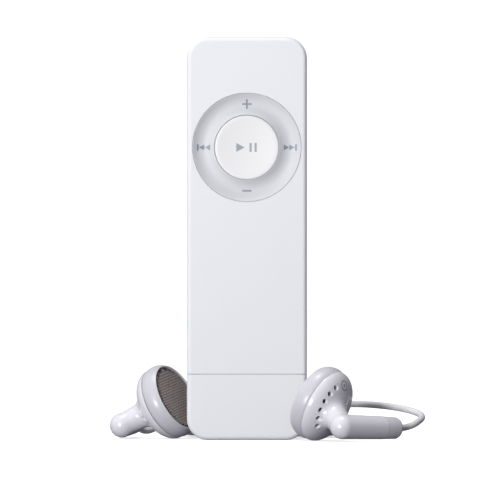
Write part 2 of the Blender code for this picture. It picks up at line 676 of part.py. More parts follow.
def back_controls():
    """Mode knob in its recess, battery button and its lamp, all just below the back's surface."""
    knob_front = DEPTH / 2 - KNOB_RECESS + 0.05 * MM
    knob_back = DEPTH / 2 - PROUD
    outline = rounded_rectangle(KNOB_WIDTH, KNOB_LENGTH, KNOB_WIDTH / 2, 6)
    middle_y = (knob_front + knob_back) / 2
    mesh = plate_mesh("mode_knob", outline, knob_back - knob_front)
    knob = part("mode_knob", mesh, "white_gloss", at(0, middle_y, KNOB_Z) @ REAR)
    stem_mesh = cone_mesh("knob_stem", 1.0 * MM, 1.0 * MM, 0.8 * MM, 20)
    boolean(knob, "UNION", cutter("knob_stem", stem_mesh, at(0, 2.95 * MM, KNOB_Z) @ REAR))
    for number, z in enumerate((-1.2 * MM, 0.0, 1.2 * MM)):
        name = f"knob_groove_{number}"
        low = (-1.4 * MM, knob_back - 0.12 * MM, KNOB_Z + z - 0.15 * MM)
        high = (1.4 * MM, knob_back + 0.5 * MM, KNOB_Z + z + 0.15 * MM)
        boolean(knob, "DIFFERENCE", cutter(name, box_mesh(name, low, high)))

    face = DEPTH / 2 - PROUD
    origin_y = 3.0 * MM
    top = face - origin_y
    profile = [(0.0, top), (2.2 * MM, top), (BATTERY_BUTTON_R, top - 0.15 * MM)]
    profile += [(BATTERY_BUTTON_R, 0.0), (3.1 * MM, 0.0), (3.1 * MM, -0.4 * MM), (0.0, -0.4 * MM)]
    button_mesh = turned_mesh("battery_button", profile, 40)
    part("battery_button", button_mesh, "white_gloss", at(0, origin_y, BATTERY_BUTTON_Z) @ REAR)
    led_base = 2.1 * MM
    led_mesh = cone_mesh("battery_led", LED_R, LED_R, face - led_base, 20)
    part("battery_led", led_mesh, "clear_lens", at(0, led_base, LED_Z) @ REAR)


def bud_frame(side):
    """An earbud's own frame, from where it lies and how its stem points."""
    centre, dome, stem = (Vector(values) for values in BUD_PLACES[side])
    dome = dome.normalized()
    across = (stem - dome * stem.dot(dome)).normalized()
    sideways = dome.cross(across)
    frame = Matrix((across, sideways, dome)).transposed().to_4x4()
    frame.translation = centre * MM
    return frame


def dome_profile(radius, height, steps, base=0.0):
    """A quarter ellipse from the apex down to the rim, then across its flat base."""
    profile = []
    for step in range(steps + 1):
        angle = math.radians(90.0 * (1 - step / steps))
        profile.append((radius * math.cos(angle), height * math.sin(angle)))
    profile[0] = (0.0, height)
    if base:
        profile.append((radius, -base))
    profile.append((0.0, -base))
    return profile


def stem_frame():
    """The stem's frame within an earbud: its root at the elbow, +Z along the stem."""
    direction = Vector((math.cos(STEM_TILT), 0.0, math.sin(STEM_TILT)))
    turn = direction.to_track_quat("Z", "Y").to_matrix().to_4x4()
    return Matrix.Translation(ELBOW) @ turn


def bud_back_mesh():
    """Dome, neck, elbow and stem in one moulding, hollow behind the driver, with vents."""
    name = "bud_back"
    back = bpy.data.objects.new(name, turned_mesh(name, dome_profile(BUD_SEAM_R, BUD_DOME_H, 7), 40))
    CUTTERS.objects.link(back)
    direction = ELBOW - NECK_ROOT
    turn = direction.to_track_quat("Z", "Y").to_matrix().to_4x4()
    neck = cone_mesh("bud_neck", NECK_ROOT_R, NECK_END_R, direction.length, 24)
    hollow_profile = dome_profile(BUD_SEAM_R - BUD_WALL, BUD_DOME_H - BUD_WALL, 6, base=1.0 * MM)
    stem = cone_mesh("bud_stem", STEM_ROOT_R, STEM_END_R, STEM_LENGTH, 24)
    joined = [
        cutter("bud_neck", neck, Matrix.Translation(NECK_ROOT) @ turn),
        cutter("bud_elbow", ball_mesh("bud_elbow", ELBOW_R, 24), stem_frame()),
        cutter("bud_stem", stem, stem_frame()),
    ]
    removed = [cutter("bud_hollow", turned_mesh("bud_hollow", hollow_profile, 32))]
    for number in range(VENT_COUNT):
        angle = VENT_FIRST_ANGLE + VENT_STEP * number
        radius = VENT_CIRCLE_R - VENT_CIRCLE_SHRINK * number
        x = radius * math.cos(angle)
        y = radius * math.sin(angle)
        vent = cone_mesh(f"bud_vent_{number}", VENT_R, VENT_R, 4 * MM, 8)
        removed.append(cutter(f"bud_vent_{number}", vent, at(x, y, 0.6 * MM)))
    for other in joined:
        boolean(back, "UNION", other)
    for other in removed:
        boolean(back, "DIFFERENCE", other)
    mesh = evaluated_mesh(back)
    for obj in (back, *joined, *removed):
        bpy.data.objects.remove(obj)
    return mesh


def bumper_mesh():
    rim = BUMPER_DEPTH
    seam = -0.06 * MM
    profile = [(BUD_SEAM_R - 0.05 * MM, seam), (BUMPER_R - 0.05 * MM, -0.6 * MM)]
    profile += [(BUMPER_R, -1.25 * MM), (BUMPER_R - 0.12 * MM, -2.1 * MM)]
    profile += [(BUMPER_R - 0.38 * MM, -2.9 * MM), (BUMPER_RIM_R, -rim)]
    profile += [(BUMPER_BORE_R, -rim), (BUMPER_BORE_R, seam)]
    return turned_mesh("bumper", profile, 40, closed=True)


def grille_mesh():
    edge = BUMPER_BORE_R - THIN_GAP
    profile = [(0.0, -3.1 * MM), (edge, -3.0 * MM), (edge, -3.25 * MM)]
    profile += [(edge * 0.6, -3.36 * MM), (0.0, -3.4 * MM)]
    return turned_mesh("grille", profile, 32)


def driver_mesh():
    profile = [(0.0, 0.9 * MM), (3.8 * MM, 0.9 * MM), (3.8 * MM, -0.4 * MM), (6.6 * MM, -0.4 * MM)]
    profile += [(6.6 * MM, -2.2 * MM), (0.0, -2.2 * MM)]
    return turned_mesh("driver", profile, 32)


def diaphragm_mesh():
    profile = [(0.0, -2.3 * MM), (6.2 * MM, -2.3 * MM), (6.2 * MM, -2.4 * MM), (4.6 * MM, -2.6 * MM)]
    profile += [(3.2 * MM, -2.45 * MM), (1.6 * MM, -2.75 * MM), (0.0, -2.85 * MM)]
    return turned_mesh("diaphragm", profile, 24)


def collar_mesh():
    """The sleeve that ends the stem, with its rounded mouth round the cord."""
    end_r = STEM_END_R - 0.12 * MM
    hole_r = BRANCH_R + 0.2 * MM
    hole_base = COLLAR_LENGTH - 1.2 * MM
    profile = [(0.0, hole_base), (hole_r, hole_base), (hole_r, COLLAR_LENGTH)]
    profile += [(end_r - 0.5 * MM, COLLAR_LENGTH), (end_r - 0.1 * MM, COLLAR_LENGTH - 0.35 * MM)]
    profile += [(STEM_END_R, 0.0), (0.0, 0.0)]
    return turned_mesh("stem_collar", profile, 24)


def earbuds():
    pieces = {
        "back": (bud_back_mesh(), "bud_white"),
        "bumper": (bumper_mesh(), "bumper_white"),
        "grille": (grille_mesh(), "grille_brown"),
        "driver": (driver_mesh(), "steel"),
        "diaphragm": (diaphragm_mesh(), "amber_film"),
    }
    for side in BUD_PLACES:
        frame = bud_frame(side)
        for name, (mesh, kind) in pieces.items():
            part(f"{side}_bud_{name}", mesh.copy(), kind, frame)
        collar_place = frame @ stem_frame() @ at(0, 0, STEM_LENGTH + THIN_GAP)
        part(f"{side}_stem_collar", collar_mesh(), "bumper_white", collar_place)


def cords():
    """The cords' free stretches, the coil that holds the rest, and the tie round it."""
    runs = {
        "right_branch_cord": (RIGHT_BRANCH_ROUTE, BRANCH_R),
        "left_branch_cord": (LEFT_BRANCH_ROUTE, BRANCH_R),
        "right_pair_run": (RIGHT_PAIR_ROUTE, BRANCH_R),
        "left_pair_run": (LEFT_PAIR_ROUTE, BRANCH_R),
        "main_cord_start": (MAIN_START_ROUTE, MAIN_R),
        "main_cord_end": (MAIN_END_ROUTE, MAIN_R),
    }
    for name, (route, radius) in runs.items():
        tube(name, smooth_route(route, 4.5 * radius), radius, "cord_white")
    edge = 0.6 * MM
    profile = [(COIL_OUTER_R - edge, COIL_TOP_Z), (COIL_OUTER_R, COIL_TOP_Z - edge)]
    profile += [(COIL_OUTER_R, COIL_BASE_Z + edge), (COIL_OUTER_R - edge, COIL_BASE_Z)]
    profile += [(COIL_INNER_R + edge, COIL_BASE_Z), (COIL_INNER_R, COIL_BASE_Z + edge)]
    profile += [(COIL_INNER_R, COIL_TOP_Z - edge), (COIL_INNER_R + edge, COIL_TOP_Z)]
    part("cord_coil", turned_mesh("cord_coil", profile, 48, closed=True), "cord_white", at(*COIL_CENTRE, 0))

    width = COIL_OUTER_R - COIL_INNER_R + 2 * TIE_SLACK
    height = COIL_TOP_Z - COIL_BASE_Z + TIE_SLACK
    outside = rounded_rectangle(width + 2 * TIE_THICKNESS, height + 2 * TIE_THICKNESS, 0.9 * MM, 3)
    middle_r = (COIL_OUTER_R + COIL_INNER_R) / 2
    turn = Matrix.Rotation(TIE_ANGLE, 4, "Z")
    place = at(*COIL_CENTRE, (COIL_TOP_Z + COIL_BASE_Z) / 2) @ turn @ at(middle_r, 0, 0) @ FRONT
    tie = part("cord_tie", plate_mesh("cord_tie", outside, TIE_WIDTH), "bumper_white", place)
    inside = rounded_rectangle(width, height, 0.4 * MM, 3)
    boolean(tie, "DIFFERENCE", cutter("tie_hole", plate_mesh("tie_hole", inside, 2 * TIE_WIDTH), place))


def cord_fittings():
    """Y-splitter where the branches meet the main cord, and the slider on the branches."""
    clip = rounded_rectangle(CLIP_WIDTH, CLIP_HEIGHT, 1.1 * MM, 4)
    along_x = Matrix.Rotation(math.radians(90), 4, "Z") @ FRONT
    splitter_x = SPLITTER_START_X + SPLITTER_LENGTH / 2
    splitter_mesh = plate_mesh("cord_splitter", clip, SPLITTER_LENGTH)
    splitter = part("cord_splitter", splitter_mesh, "bumper_white", at(splitter_x, PAIR_Y, PAIR_Z) @ along_x)
    bevel(splitter, 0.4 * MM)
    slider_mesh = plate_mesh("cord_slider", clip, SLIDER_LENGTH)
    slider_place = at(SLIDER_X, PAIR_Y, PAIR_Z) @ along_x
    slider = part("cord_slider", slider_mesh, "bumper_white", slider_place)
    slot = rounded_rectangle(3.5 * MM, 1.9 * MM, 0.9 * MM, 4)
    slot_mesh = plate_mesh("slider_slot", slot, 2 * SLIDER_LENGTH)
    boolean(slider, "DIFFERENCE", cutter("slider_slot", slot_mesh, slider_place))


def stereo_plug():
    """Pin, body and strain relief, one behind the other on a slightly tilted axis."""
    lie = Matrix.Rotation(math.radians(90) - PLUG_TILT, 4, "Y")
    axis = Matrix.Translation(PLUG_TIP) @ lie
    pin_r = 1.75 * MM
    groove_r = 1.6 * MM
    profile = [(0.0, PIN_LENGTH), (pin_r, PIN_LENGTH)]
    for groove in (8.2 * MM, 5.2 * MM):
        profile += [(pin_r, groove + 0.3 * MM), (groove_r, groove + 0.2 * MM)]
        profile += [(groove_r, groove - 0.2 * MM), (pin_r, groove - 0.3 * MM)]
    profile += [(pin_r, 3.6 * MM), (1.15 * MM, 2.6 * MM), (1.6 * MM, 1.6 * MM)]
    profile += [(0.6 * MM, 0.1 * MM), (0.0, 0.0)]
    part("plug_pin", turned_mesh("plug_pin", profile, 20), "gold", axis)
    body_r = PLUG_BODY_R
    length = PLUG_BODY_LENGTH
    profile = [(0.0, length), (body_r - 0.7 * MM, length), (body_r - 0.15 * MM, length - 0.5 * MM)]
    profile += [(body_r, length - 1.2 * MM), (body_r, 0.4 * MM), (body_r - 0.4 * MM, 0.0), (0.0, 0.0)]
    body_place = axis @ at(0, 0, PIN_LENGTH + THIN_GAP)
    part("plug_body", turned_mesh("plug_body", profile, 32), "bud_white", body_place)
    ribs = 3
    profile = [(0.0, RELIEF_LENGTH), (1.3 * MM, RELIEF_LENGTH)]
    for rib in range(ribs):
        top = RELIEF_LENGTH * (1 - (rib + 0.7) / (ribs + 0.7))
        radius = (1.45 + 0.2 * rib) * MM
        profile += [(radius, top + 0.5 * MM), (radius, top), (radius - 0.25 * MM, top - 0.1 * MM)]
    profile += [(1.95 * MM, 0.2 * MM), (1.95 * MM, 0.0), (0.0, 0.0)]
    relief_place = body_place @ at(0, 0, PLUG_BODY_LENGTH + THIN_GAP)
    part("plug_relief", turned_mesh("plug_relief", profile, 20), "bumper_white", relief_place)


clear_scene()
PARTS = collection("digital_audio_player")
CUTTERS = collection("cutters")
player_cutters()
casing("front_shell", -DEPTH, -HALF_SPLIT, ("pad_opening",))
casing("rear_shell", HALF_SPLIT, DEPTH, rear_cutters())
usb_cap()
usb_plug()
control_pad()
keypad()
electronics()
headphone_jack()
back_controls()
earbuds()
cords()
cord_fittings()
stereo_plug()
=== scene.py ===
import math

import bmesh
import bpy
import numpy as np
from mathutils import Matrix, Vector
from mathutils.geometry import interpolate_bezier


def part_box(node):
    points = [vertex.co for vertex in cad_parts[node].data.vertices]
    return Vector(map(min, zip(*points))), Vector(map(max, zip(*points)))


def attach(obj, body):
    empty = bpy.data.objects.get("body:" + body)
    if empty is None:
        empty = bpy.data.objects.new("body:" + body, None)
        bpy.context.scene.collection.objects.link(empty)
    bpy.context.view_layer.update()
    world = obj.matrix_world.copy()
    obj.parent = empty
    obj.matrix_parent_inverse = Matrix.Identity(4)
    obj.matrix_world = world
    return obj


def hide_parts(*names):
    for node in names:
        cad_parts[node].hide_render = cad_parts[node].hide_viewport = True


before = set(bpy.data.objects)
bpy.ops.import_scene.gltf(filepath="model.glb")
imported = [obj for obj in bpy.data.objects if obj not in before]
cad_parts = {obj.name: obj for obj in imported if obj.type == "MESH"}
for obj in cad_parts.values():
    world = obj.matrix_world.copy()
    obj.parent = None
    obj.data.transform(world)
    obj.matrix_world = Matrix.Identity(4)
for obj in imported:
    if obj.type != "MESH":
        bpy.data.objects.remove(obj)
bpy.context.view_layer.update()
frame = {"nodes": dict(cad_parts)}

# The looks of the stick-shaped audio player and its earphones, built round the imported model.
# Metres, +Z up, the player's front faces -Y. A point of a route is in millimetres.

MM = 0.001

# Camera and stage
CAMERA_AIM = Vector((-0.08, -4.2, 41.7)) * MM
CAMERA_DISTANCE = 1600.0 * MM
FRAME_WIDTH = 102.75 * MM
FLOOR_R = 3.0
FLOOR_DROP = 0.05 * MM
BACKDROP_R = 3.2

# Player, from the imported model
SHELL_LOW, SHELL_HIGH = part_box("front_shell")
WIDTH = SHELL_HIGH.x - SHELL_LOW.x
FRONT_Y = SHELL_LOW.y
BACK_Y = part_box("rear_shell")[1].y
DEPTH = BACK_Y - FRONT_Y
HEIGHT = SHELL_HIGH.z
BODY_BASE = SHELL_LOW.z
CAP_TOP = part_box("usb_cap")[1].z
HALF_SPLIT = -SHELL_HIGH.y
CORNER_R = 4.4 * MM
EDGE_R = 0.9 * MM
WALL = 1.0 * MM
SOFT_EDGE = 0.06 * MM
GAP = 0.3 * MM
THIN_GAP = 0.1 * MM

# Control pad
BUTTON_LOW, BUTTON_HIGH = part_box("centre_button")
PAD_Z = (BUTTON_LOW.z + BUTTON_HIGH.z) / 2
RING_R = 11.30 * MM
RING_HOLE_R = 6.80 * MM
RING_VALLEY = 0.85 * MM
RING_FRONT = -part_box("control_ring")[0].y
OPENING_R = 11.37 * MM
BUTTON_R = 6.74 * MM
BUTTON_FLANGE_R = 7.4 * MM
BUTTON_FRONT = -BUTTON_LOW.y
BUTTON_DISH = 0.25 * MM
MARK_PROUD = 0.012 * MM
CASING_WHITE = (0.815, 0.825, 0.85)

# Back controls and the headphone hole
KNOB_LOW, KNOB_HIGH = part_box("mode_knob")
KNOB_WIDTH = KNOB_HIGH.x - KNOB_LOW.x
KNOB_LENGTH = KNOB_HIGH.z - KNOB_LOW.z
KNOB_Z = (KNOB_LOW.z + KNOB_HIGH.z) / 2
KNOB_TRAVEL = 6.0 * MM
KNOB_RECESS = 0.6 * MM
PRESS_LOW, PRESS_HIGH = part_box("battery_button")
PRESS_Z = (PRESS_LOW.z + PRESS_HIGH.z) / 2
PRESS_R = 2.4 * MM
LED_LOW, LED_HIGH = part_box("battery_led")
LED_Z = (LED_LOW.z + LED_HIGH.z) / 2
LED_R = (LED_HIGH.x - LED_LOW.x) / 2
BEZEL_LOW, BEZEL_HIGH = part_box("jack_bezel")
JACK_Y = (BEZEL_LOW.y + BEZEL_HIGH.y) / 2
JACK_HOLE_R = 2.2 * MM
JACK_BORE_R = 1.8 * MM

# Earbud, in its own frame: origin at the middle of the seam, +Z to the dome's apex
BUD_SEAM_R = 7.8 * MM
BUD_DOME_H = 4.2 * MM
BUD_WALL = 1.0 * MM
BUMPER_R = 8.0 * MM
BUMPER_RIM_R = 7.3 * MM
BUMPER_BORE_R = 6.95 * MM
BUMPER_DEPTH = 3.5 * MM
MESH_R = BUMPER_BORE_R - THIN_GAP
MESH_HEIGHT = -3.35 * MM
MESH_DISH = 0.2 * MM
BADGE_RADIUS = 6.0 * MM
BADGE_ANGLE = math.radians(88.0)
VENT_CIRCLE_R = 6.3 * MM
VENT_CIRCLE_SHRINK = 0.08 * MM
VENT_R = 0.46 * MM
VENT_COUNT = 6
VENT_FIRST_ANGLE = math.radians(114.0)
VENT_STEP = math.radians(18.6)
NECK_ROOT = Vector((-1.0, 0.0, 2.4)) * MM
NECK_ROOT_R = 2.9 * MM
NECK_END_R = 2.3 * MM
ELBOW = Vector((-5.5, 0.0, 8.4)) * MM
ELBOW_R = 2.66 * MM
ELBOW_CORE_R = 2.56 * MM
STEM_TILT = math.radians(18.0)
STEM_LENGTH = 10.9 * MM
STEM_END_R = 2.38 * MM
COLLAR_LENGTH = 4.2 * MM
BUD_PLACES = {
    "right": ((16.15, -9.9, 7.29), (0.782, -0.452, -0.43), (0.765, 0.643, -0.04)),
    "left": ((-17.3, 8.6, 7.3), (-0.78, 0.45, -0.43), (0.426, 0.891, 0.16)),
}

# Cords
BRANCH_R = 0.7 * MM
MAIN_R = 1.0 * MM
CORD_SUNK = 0.8 * MM
FITTING_R = 1.25 * MM
COIL_LOW, COIL_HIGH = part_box("cord_coil")
COIL_CENTRE = (COIL_LOW + COIL_HIGH) / 2

# The branches' layer of the coil: innermost radius, angle where it starts, and turns already past there
BRANCH_TURNS = 2.25
BRANCH_PITCH = 2.9 * MM
BRANCH_LAYER_Z = 5.15 * MM
BRANCH_LAYERS = {
    "right": (8.6 * MM, -115.0, 25.0 / 360.0),
    "left": (10.05 * MM, 66.0, 0.5667),
}

# The main cord's two layers of the coil, below the branches
MAIN_LOW_Z = 1.4 * MM
MAIN_HIGH_Z = 3.4 * MM
MAIN_INNER_R = 8.1 * MM
MAIN_LOW_OUTER_R = 16.9 * MM
MAIN_HIGH_OUTER_R = 17.0 * MM
MAIN_FIRST_ANGLE = -35.0
MAIN_LAST_ANGLE = 90.0
MAIN_LOW_TURNS = 4.4
MAIN_HIGH_WHOLE_TURNS = 4.0
MAIN_CLIMB = 60.0

# Routes, point by point in millimetres
BRANCH_ROUTES = {
    "right": (
        (31.46, -8.15, 2.59), (33.1, -6.7, 2.75), (34.6, -5.1, 3.2), (35.8, -2.7, 3.9),
        (36.6, 0.4, 4.6), (36.1, 3.3, 5.3), (34.1, 5.7, 6.0), (31.0, 7.5, 6.6),
        (27.4, 8.9, 7.0), (23.7, 10.1, 7.2), (19.9, 11.2, 7.15), (16.2, 12.2, 7.0),
        (12.6, 13.1, 6.95), (9.3, 13.9, 6.9), (6.6, 14.8, 6.87), (3.5, 15.8, 6.5),
    ),
    "left": (
        (-23.7, 22.8, 3.1), (-23.3, 25.2, 3.05), (-23.0, 27.5, 2.5), (-22.7, 29.6, 1.6),
        (-21.9, 31.6, 1.1), (-20.2, 33.6, 1.3), (-17.4, 35.4, 3.0), (-13.8, 36.7, 5.1),
        (-9.9, 37.3, 6.5), (-6.2, 37.5, 6.95), (-2.9, 37.45, 6.9), (-1.4, 37.3, 6.87),
        (1.2, 36.95, 6.6), (4.2, 36.2, 5.6),
    ),
}
PAIR_ROUTES = {
    "right": (
        (-12.3, 28.5, 5.0), (-12.7, 32.0, 4.4), (-12.5, 34.6, 3.5), (-12.0, 37.3, 2.5),
        (-10.7, 40.2, 1.6), (-8.4, 42.7, 1.1), (-5.5, 44.2, 1.3), (-3.4, 44.675, 1.5),
        (0.0, 44.675, 1.5), (3.6, 44.675, 1.5), (7.3, 44.675, 1.5),
    ),
    "left": (
        (-13.75, 28.6, 5.0), (-14.15, 32.2, 4.4), (-13.95, 34.8, 3.5), (-13.45, 37.8, 2.5),
        (-11.95, 41.0, 1.6), (-9.3, 43.9, 1.1), (-6.0, 45.6, 1.3), (-3.4, 46.125, 1.5),
        (0.0, 46.125, 1.5), (3.6, 46.125, 1.5), (7.3, 46.125, 1.5),
    ),
}
MAIN_START_ROUTE = (
    (15.9, 45.4, 1.5), (18.8, 44.4, 1.3), (21.3, 42.1, 1.1), (22.9, 39.0, 1.05),
    (23.5, 35.4, 1.05), (23.5, 31.7, 1.05), (22.9, 28.0, 1.05), (21.9, 24.2, 1.2),
    (20.6, 20.5, 1.35),
)
MAIN_END_ROUTE = (
    (12.55, 41.55, 4.2), (16.7, 38.6, 5.3), (19.8, 34.7, 6.8), (21.1, 31.0, 8.1),
    (21.1, 28.4, 8.8), (20.5, 26.1, 9.15), (19.1, 24.8, 9.2), (17.75, 24.5, 9.14),
)

FRONT = Matrix.Rotation(math.radians(90), 4, "X")
REAR = Matrix.Rotation(math.radians(-90), 4, "X")
ALONG_X = Matrix.Rotation(math.radians(90), 4, "Z") @ FRONT


# Camera, floor and light


def camera():
    """Level with the player's middle, as a long lens sees it."""
    data = bpy.data.cameras.new("camera")
    data.sensor_width = 36.0
    data.lens = data.sensor_width * CAMERA_DISTANCE / FRAME_WIDTH
    data.clip_start = 0.01
    data.clip_end = 20.0
    made = bpy.data.objects.new("camera", data)
    bpy.context.scene.collection.objects.link(made)
    back = Vector((0.0, -1.0, 0.0))
    made.location = CAMERA_AIM + back * CAMERA_DISTANCE
    made.rotation_mode = "QUATERNION"
    made.rotation_quaternion = (-back).to_track_quat("-Z", "Y")
    bpy.context.scene.camera = made


def softbox(name, spot, size, power):
    """A rectangular light at a place, turned to the player's middle."""
    data = bpy.data.lights.new(name, "AREA")
    data.shape = "RECTANGLE"
    data.size, data.size_y = size
    data.energy = power
    made = bpy.data.objects.new(name, data)
    bpy.context.scene.collection.objects.link(made)
    made.location = spot
    aim = Vector((0.0, 0.0, HEIGHT / 2))
    made.rotation_mode = "QUATERNION"
    made.rotation_quaternion = (aim - made.location).to_track_quat("-Z", "Y")


def sun(name, source, strength, spread):
    """A far light from a direction, as wide as its spread in degrees."""
    data = bpy.data.lights.new(name, "SUN")
    data.energy = strength
    data.angle = math.radians(spread)
    made = bpy.data.objects.new(name, data)
    bpy.context.scene.collection.objects.link(made)
    made.rotation_mode = "QUATERNION"
    made.rotation_quaternion = (-Vector(source)).to_track_quat("-Z", "Y")


def stage():
    """A white floor and backdrop, which throw no light on the object."""
    floor_mesh = bpy.data.meshes.new("floor")
    shape = bmesh.new()
    bmesh.ops.create_circle(shape, cap_ends=True, segments=96, radius=FLOOR_R)
    bmesh.ops.translate(shape, vec=(0, 0, -FLOOR_DROP), verts=shape.verts)
    shape.to_mesh(floor_mesh)
    shape.free()
    floor = bpy.data.objects.new("floor", floor_mesh)
    floor_mesh.materials.append(plain_glow("floor_paper", (0.92, 0.92, 0.92), 0.62))
    dome_mesh = bpy.data.meshes.new("backdrop")
    shape = bmesh.new()
    bmesh.ops.create_uvsphere(shape, u_segments=48, v_segments=24, radius=BACKDROP_R)
    shape.to_mesh(dome_mesh)
    shape.free()
    backdrop = bpy.data.objects.new("backdrop", dome_mesh)
    dome_mesh.materials.append(plain_glow("backdrop_paper", (0.0, 0.0, 0.0), 1.05))
    for obj in (floor, backdrop):
        bpy.context.scene.collection.objects.link(obj)
        obj.visible_diffuse = False
        obj.visible_glossy = False
        obj.visible_transmission = False
    backdrop.visible_shadow = False


def sky():
    """Light from all round, pale from above and the left, and dim from below and the right."""
    world = bpy.data.worlds.new("studio")
    bpy.context.scene.world = world
    world.use_nodes = True
    nodes = world.node_tree.nodes
    links = world.node_tree.links
    background = nodes["Background"]
    direction = nodes.new("ShaderNodeTexCoord")
    facing = nodes.new("ShaderNodeVectorMath")
    facing.operation = "DOT_PRODUCT"
    facing.inputs[1].default_value = (-0.35, 0.0, 0.94)
    ramp = nodes.new("ShaderNodeValToRGB")
    ramp.color_ramp.elements[0].position = 0.36
    ramp.color_ramp.elements[0].color = (0.07, 0.064, 0.085, 1.0)
    ramp.color_ramp.elements[1].position = 0.72
    ramp.color_ramp.elements[1].color = (0.42, 0.425, 0.44, 1.0)
    scale = nodes.new("ShaderNodeMath")
    scale.operation = "MULTIPLY_ADD"
    scale.inputs[1].default_value = 0.5
    scale.inputs[2].default_value = 0.5
    links.new(direction.outputs["Generated"], facing.inputs[0])
    links.new(facing.outputs["Value"], scale.inputs[0])
    links.new(scale.outputs["Value"], ramp.inputs["Fac"])
    links.new(ramp.outputs["Color"], background.inputs["Color"])
    background.inputs["Strength"].default_value = 1.0


def lights():
    """A wide key light from the front left, with a low softbox on the left and one high above."""
    sun("key_light", (-0.40, -0.915, 0.01), 2.14, 9.0)
    softbox("low_light", (-0.13, -0.24, 0.040), (0.07, 0.07), 0.24)
    softbox("top_light", (-0.06, -0.05, 1.20), (0.34, 0.34), 5.4)
    bpy.context.scene.view_settings.view_transform = "Standard"


# Materials


def plain_glow(name, colour, glow):
    """A matt surface that also gives a little light of its own, for the floor and backdrop."""
    made = bpy.data.materials.new(name)
    made.use_nodes = True
    shader = made.node_tree.nodes["Principled BSDF"]
    shader.inputs["Base Color"].default_value = (*colour, 1.0)
    shader.inputs["Roughness"].default_value = 1.0
    shader.inputs["Specular IOR Level"].default_value = 0.0
    shader.inputs["Emission Color"].default_value = (1.0, 1.0, 1.0, 1.0)
    shader.inputs["Emission Strength"].default_value = glow
    return made


class Finish:
    """A Principled material whose colour, roughness and bump come from noise in the piece's own frame."""

    def __init__(self, name, colour, roughness, metallic=0.0):
        self.material = bpy.data.materials.new(name)
        self.material.use_nodes = True
        self.nodes = self.material.node_tree.nodes
        self.links = self.material.node_tree.links
        self.shader = self.nodes["Principled BSDF"]
        self.colour = colour
        self.roughness = roughness
        self.set("Base Color", (*colour, 1.0))
        self.set("Roughness", roughness)
        self.set("Metallic", metallic)
        self.material.diffuse_color = (*colour, 1.0)
        self.place = self.nodes.new("ShaderNodeTexCoord").outputs["Object"]
        self.height = None

    def set(self, socket, value):
        self.shader.inputs[socket].default_value = value

    def stretched(self, stretch):
        """The piece's coordinates, stretched along each axis."""
        mapping = self.nodes.new("ShaderNodeMapping")
        mapping.inputs["Scale"].default_value = stretch
        self.links.new(self.place, mapping.inputs["Vector"])
        return mapping.outputs["Vector"]

    def noise(self, size, detail=3.0, stretch=(1.0, 1.0, 1.0)):
        """Noise whose grains are about one size, in metres."""
        made = self.nodes.new("ShaderNodeTexNoise")
        made.inputs["Scale"].default_value = 1.0 / size
        made.inputs["Detail"].default_value = detail
        self.links.new(self.stretched(stretch), made.inputs["Vector"])
        return made.outputs["Fac"]

    def spread(self, value, low, high):
        """A 0 to 1 value brought to another range."""
        made = self.nodes.new("ShaderNodeMapRange")
        made.inputs["From Min"].default_value = 0.3
        made.inputs["From Max"].default_value = 0.7
        made.inputs["To Min"].default_value = low
        made.inputs["To Max"].default_value = high
        self.links.new(value, made.inputs["Value"])
        return made.outputs["Result"]

    def mottle(self, value, amount):
        """The colour, a little darker where the value is low."""
        mix = self.nodes.new("ShaderNodeMix")
        mix.data_type = "RGBA"
        mix.inputs["A"].default_value = (*(c * (1.0 - amount) for c in self.colour), 1.0)
        mix.inputs["B"].default_value = (*(min(1.0, c * (1.0 + 0.3 * amount)) for c in self.colour), 1.0)
        self.links.new(self.spread(value, 0.0, 1.0), mix.inputs["Factor"])
        self.links.new(mix.outputs["Result"], self.shader.inputs["Base Color"])
        return self

    def gloss(self, value, amount):
        """Roughness that varies by an amount each way."""
        low, high = self.roughness - amount, self.roughness + amount
        self.links.new(self.spread(value, low, high), self.shader.inputs["Roughness"])
        return self

    def bump(self, value, depth, strength=1.0):
        """Adds relief of a real depth on top of what is there."""
        made = self.nodes.new("ShaderNodeBump")
        made.inputs["Distance"].default_value = depth
        made.inputs["Strength"].default_value = strength
        self.links.new(value, made.inputs["Height"])
        if self.height:
            self.links.new(self.height, made.inputs["Normal"])
        self.height = made.outputs["Normal"]
        self.links.new(self.height, self.shader.inputs["Normal"])
        return self


def moulded(name, colour, roughness, coat=0.0, shine=0.5):
    """Moulded plastic: a soft flow in its gloss and a very fine skin."""
    made = Finish(name, colour, roughness)
    made.mottle(made.noise(9 * MM, 2.0), 0.006)
    made.gloss(made.noise(4 * MM, 3.0), 0.008)
    made.bump(made.noise(0.35 * MM, 2.0), 0.001 * MM, 0.15)
    made.set("Coat Weight", coat)
    made.set("Coat Roughness", 0.12)
    made.set("Specular IOR Level", shine)
    return made.material


def rubbery(name, colour, roughness):
    """Soft moulding: satin, with a finer and deeper skin than hard plastic."""
    made = Finish(name, colour, roughness)
    made.mottle(made.noise(2.5 * MM, 3.0), 0.03)
    made.gloss(made.noise(0.9 * MM, 4.0), 0.06)
    made.bump(made.noise(0.12 * MM, 3.0), 0.004 * MM, 0.5)
    made.set("Sheen Weight", 0.08)
    return made.material


def brushed(name, colour, roughness, along):
    """Metal with fine scratches along one direction."""
    made = Finish(name, colour, roughness, metallic=1.0)
    lines = made.noise(0.25 * MM, 5.0, along)
    made.mottle(lines, 0.10)
    made.gloss(lines, 0.09)
    made.bump(lines, 0.003 * MM, 0.5)
    return made.material


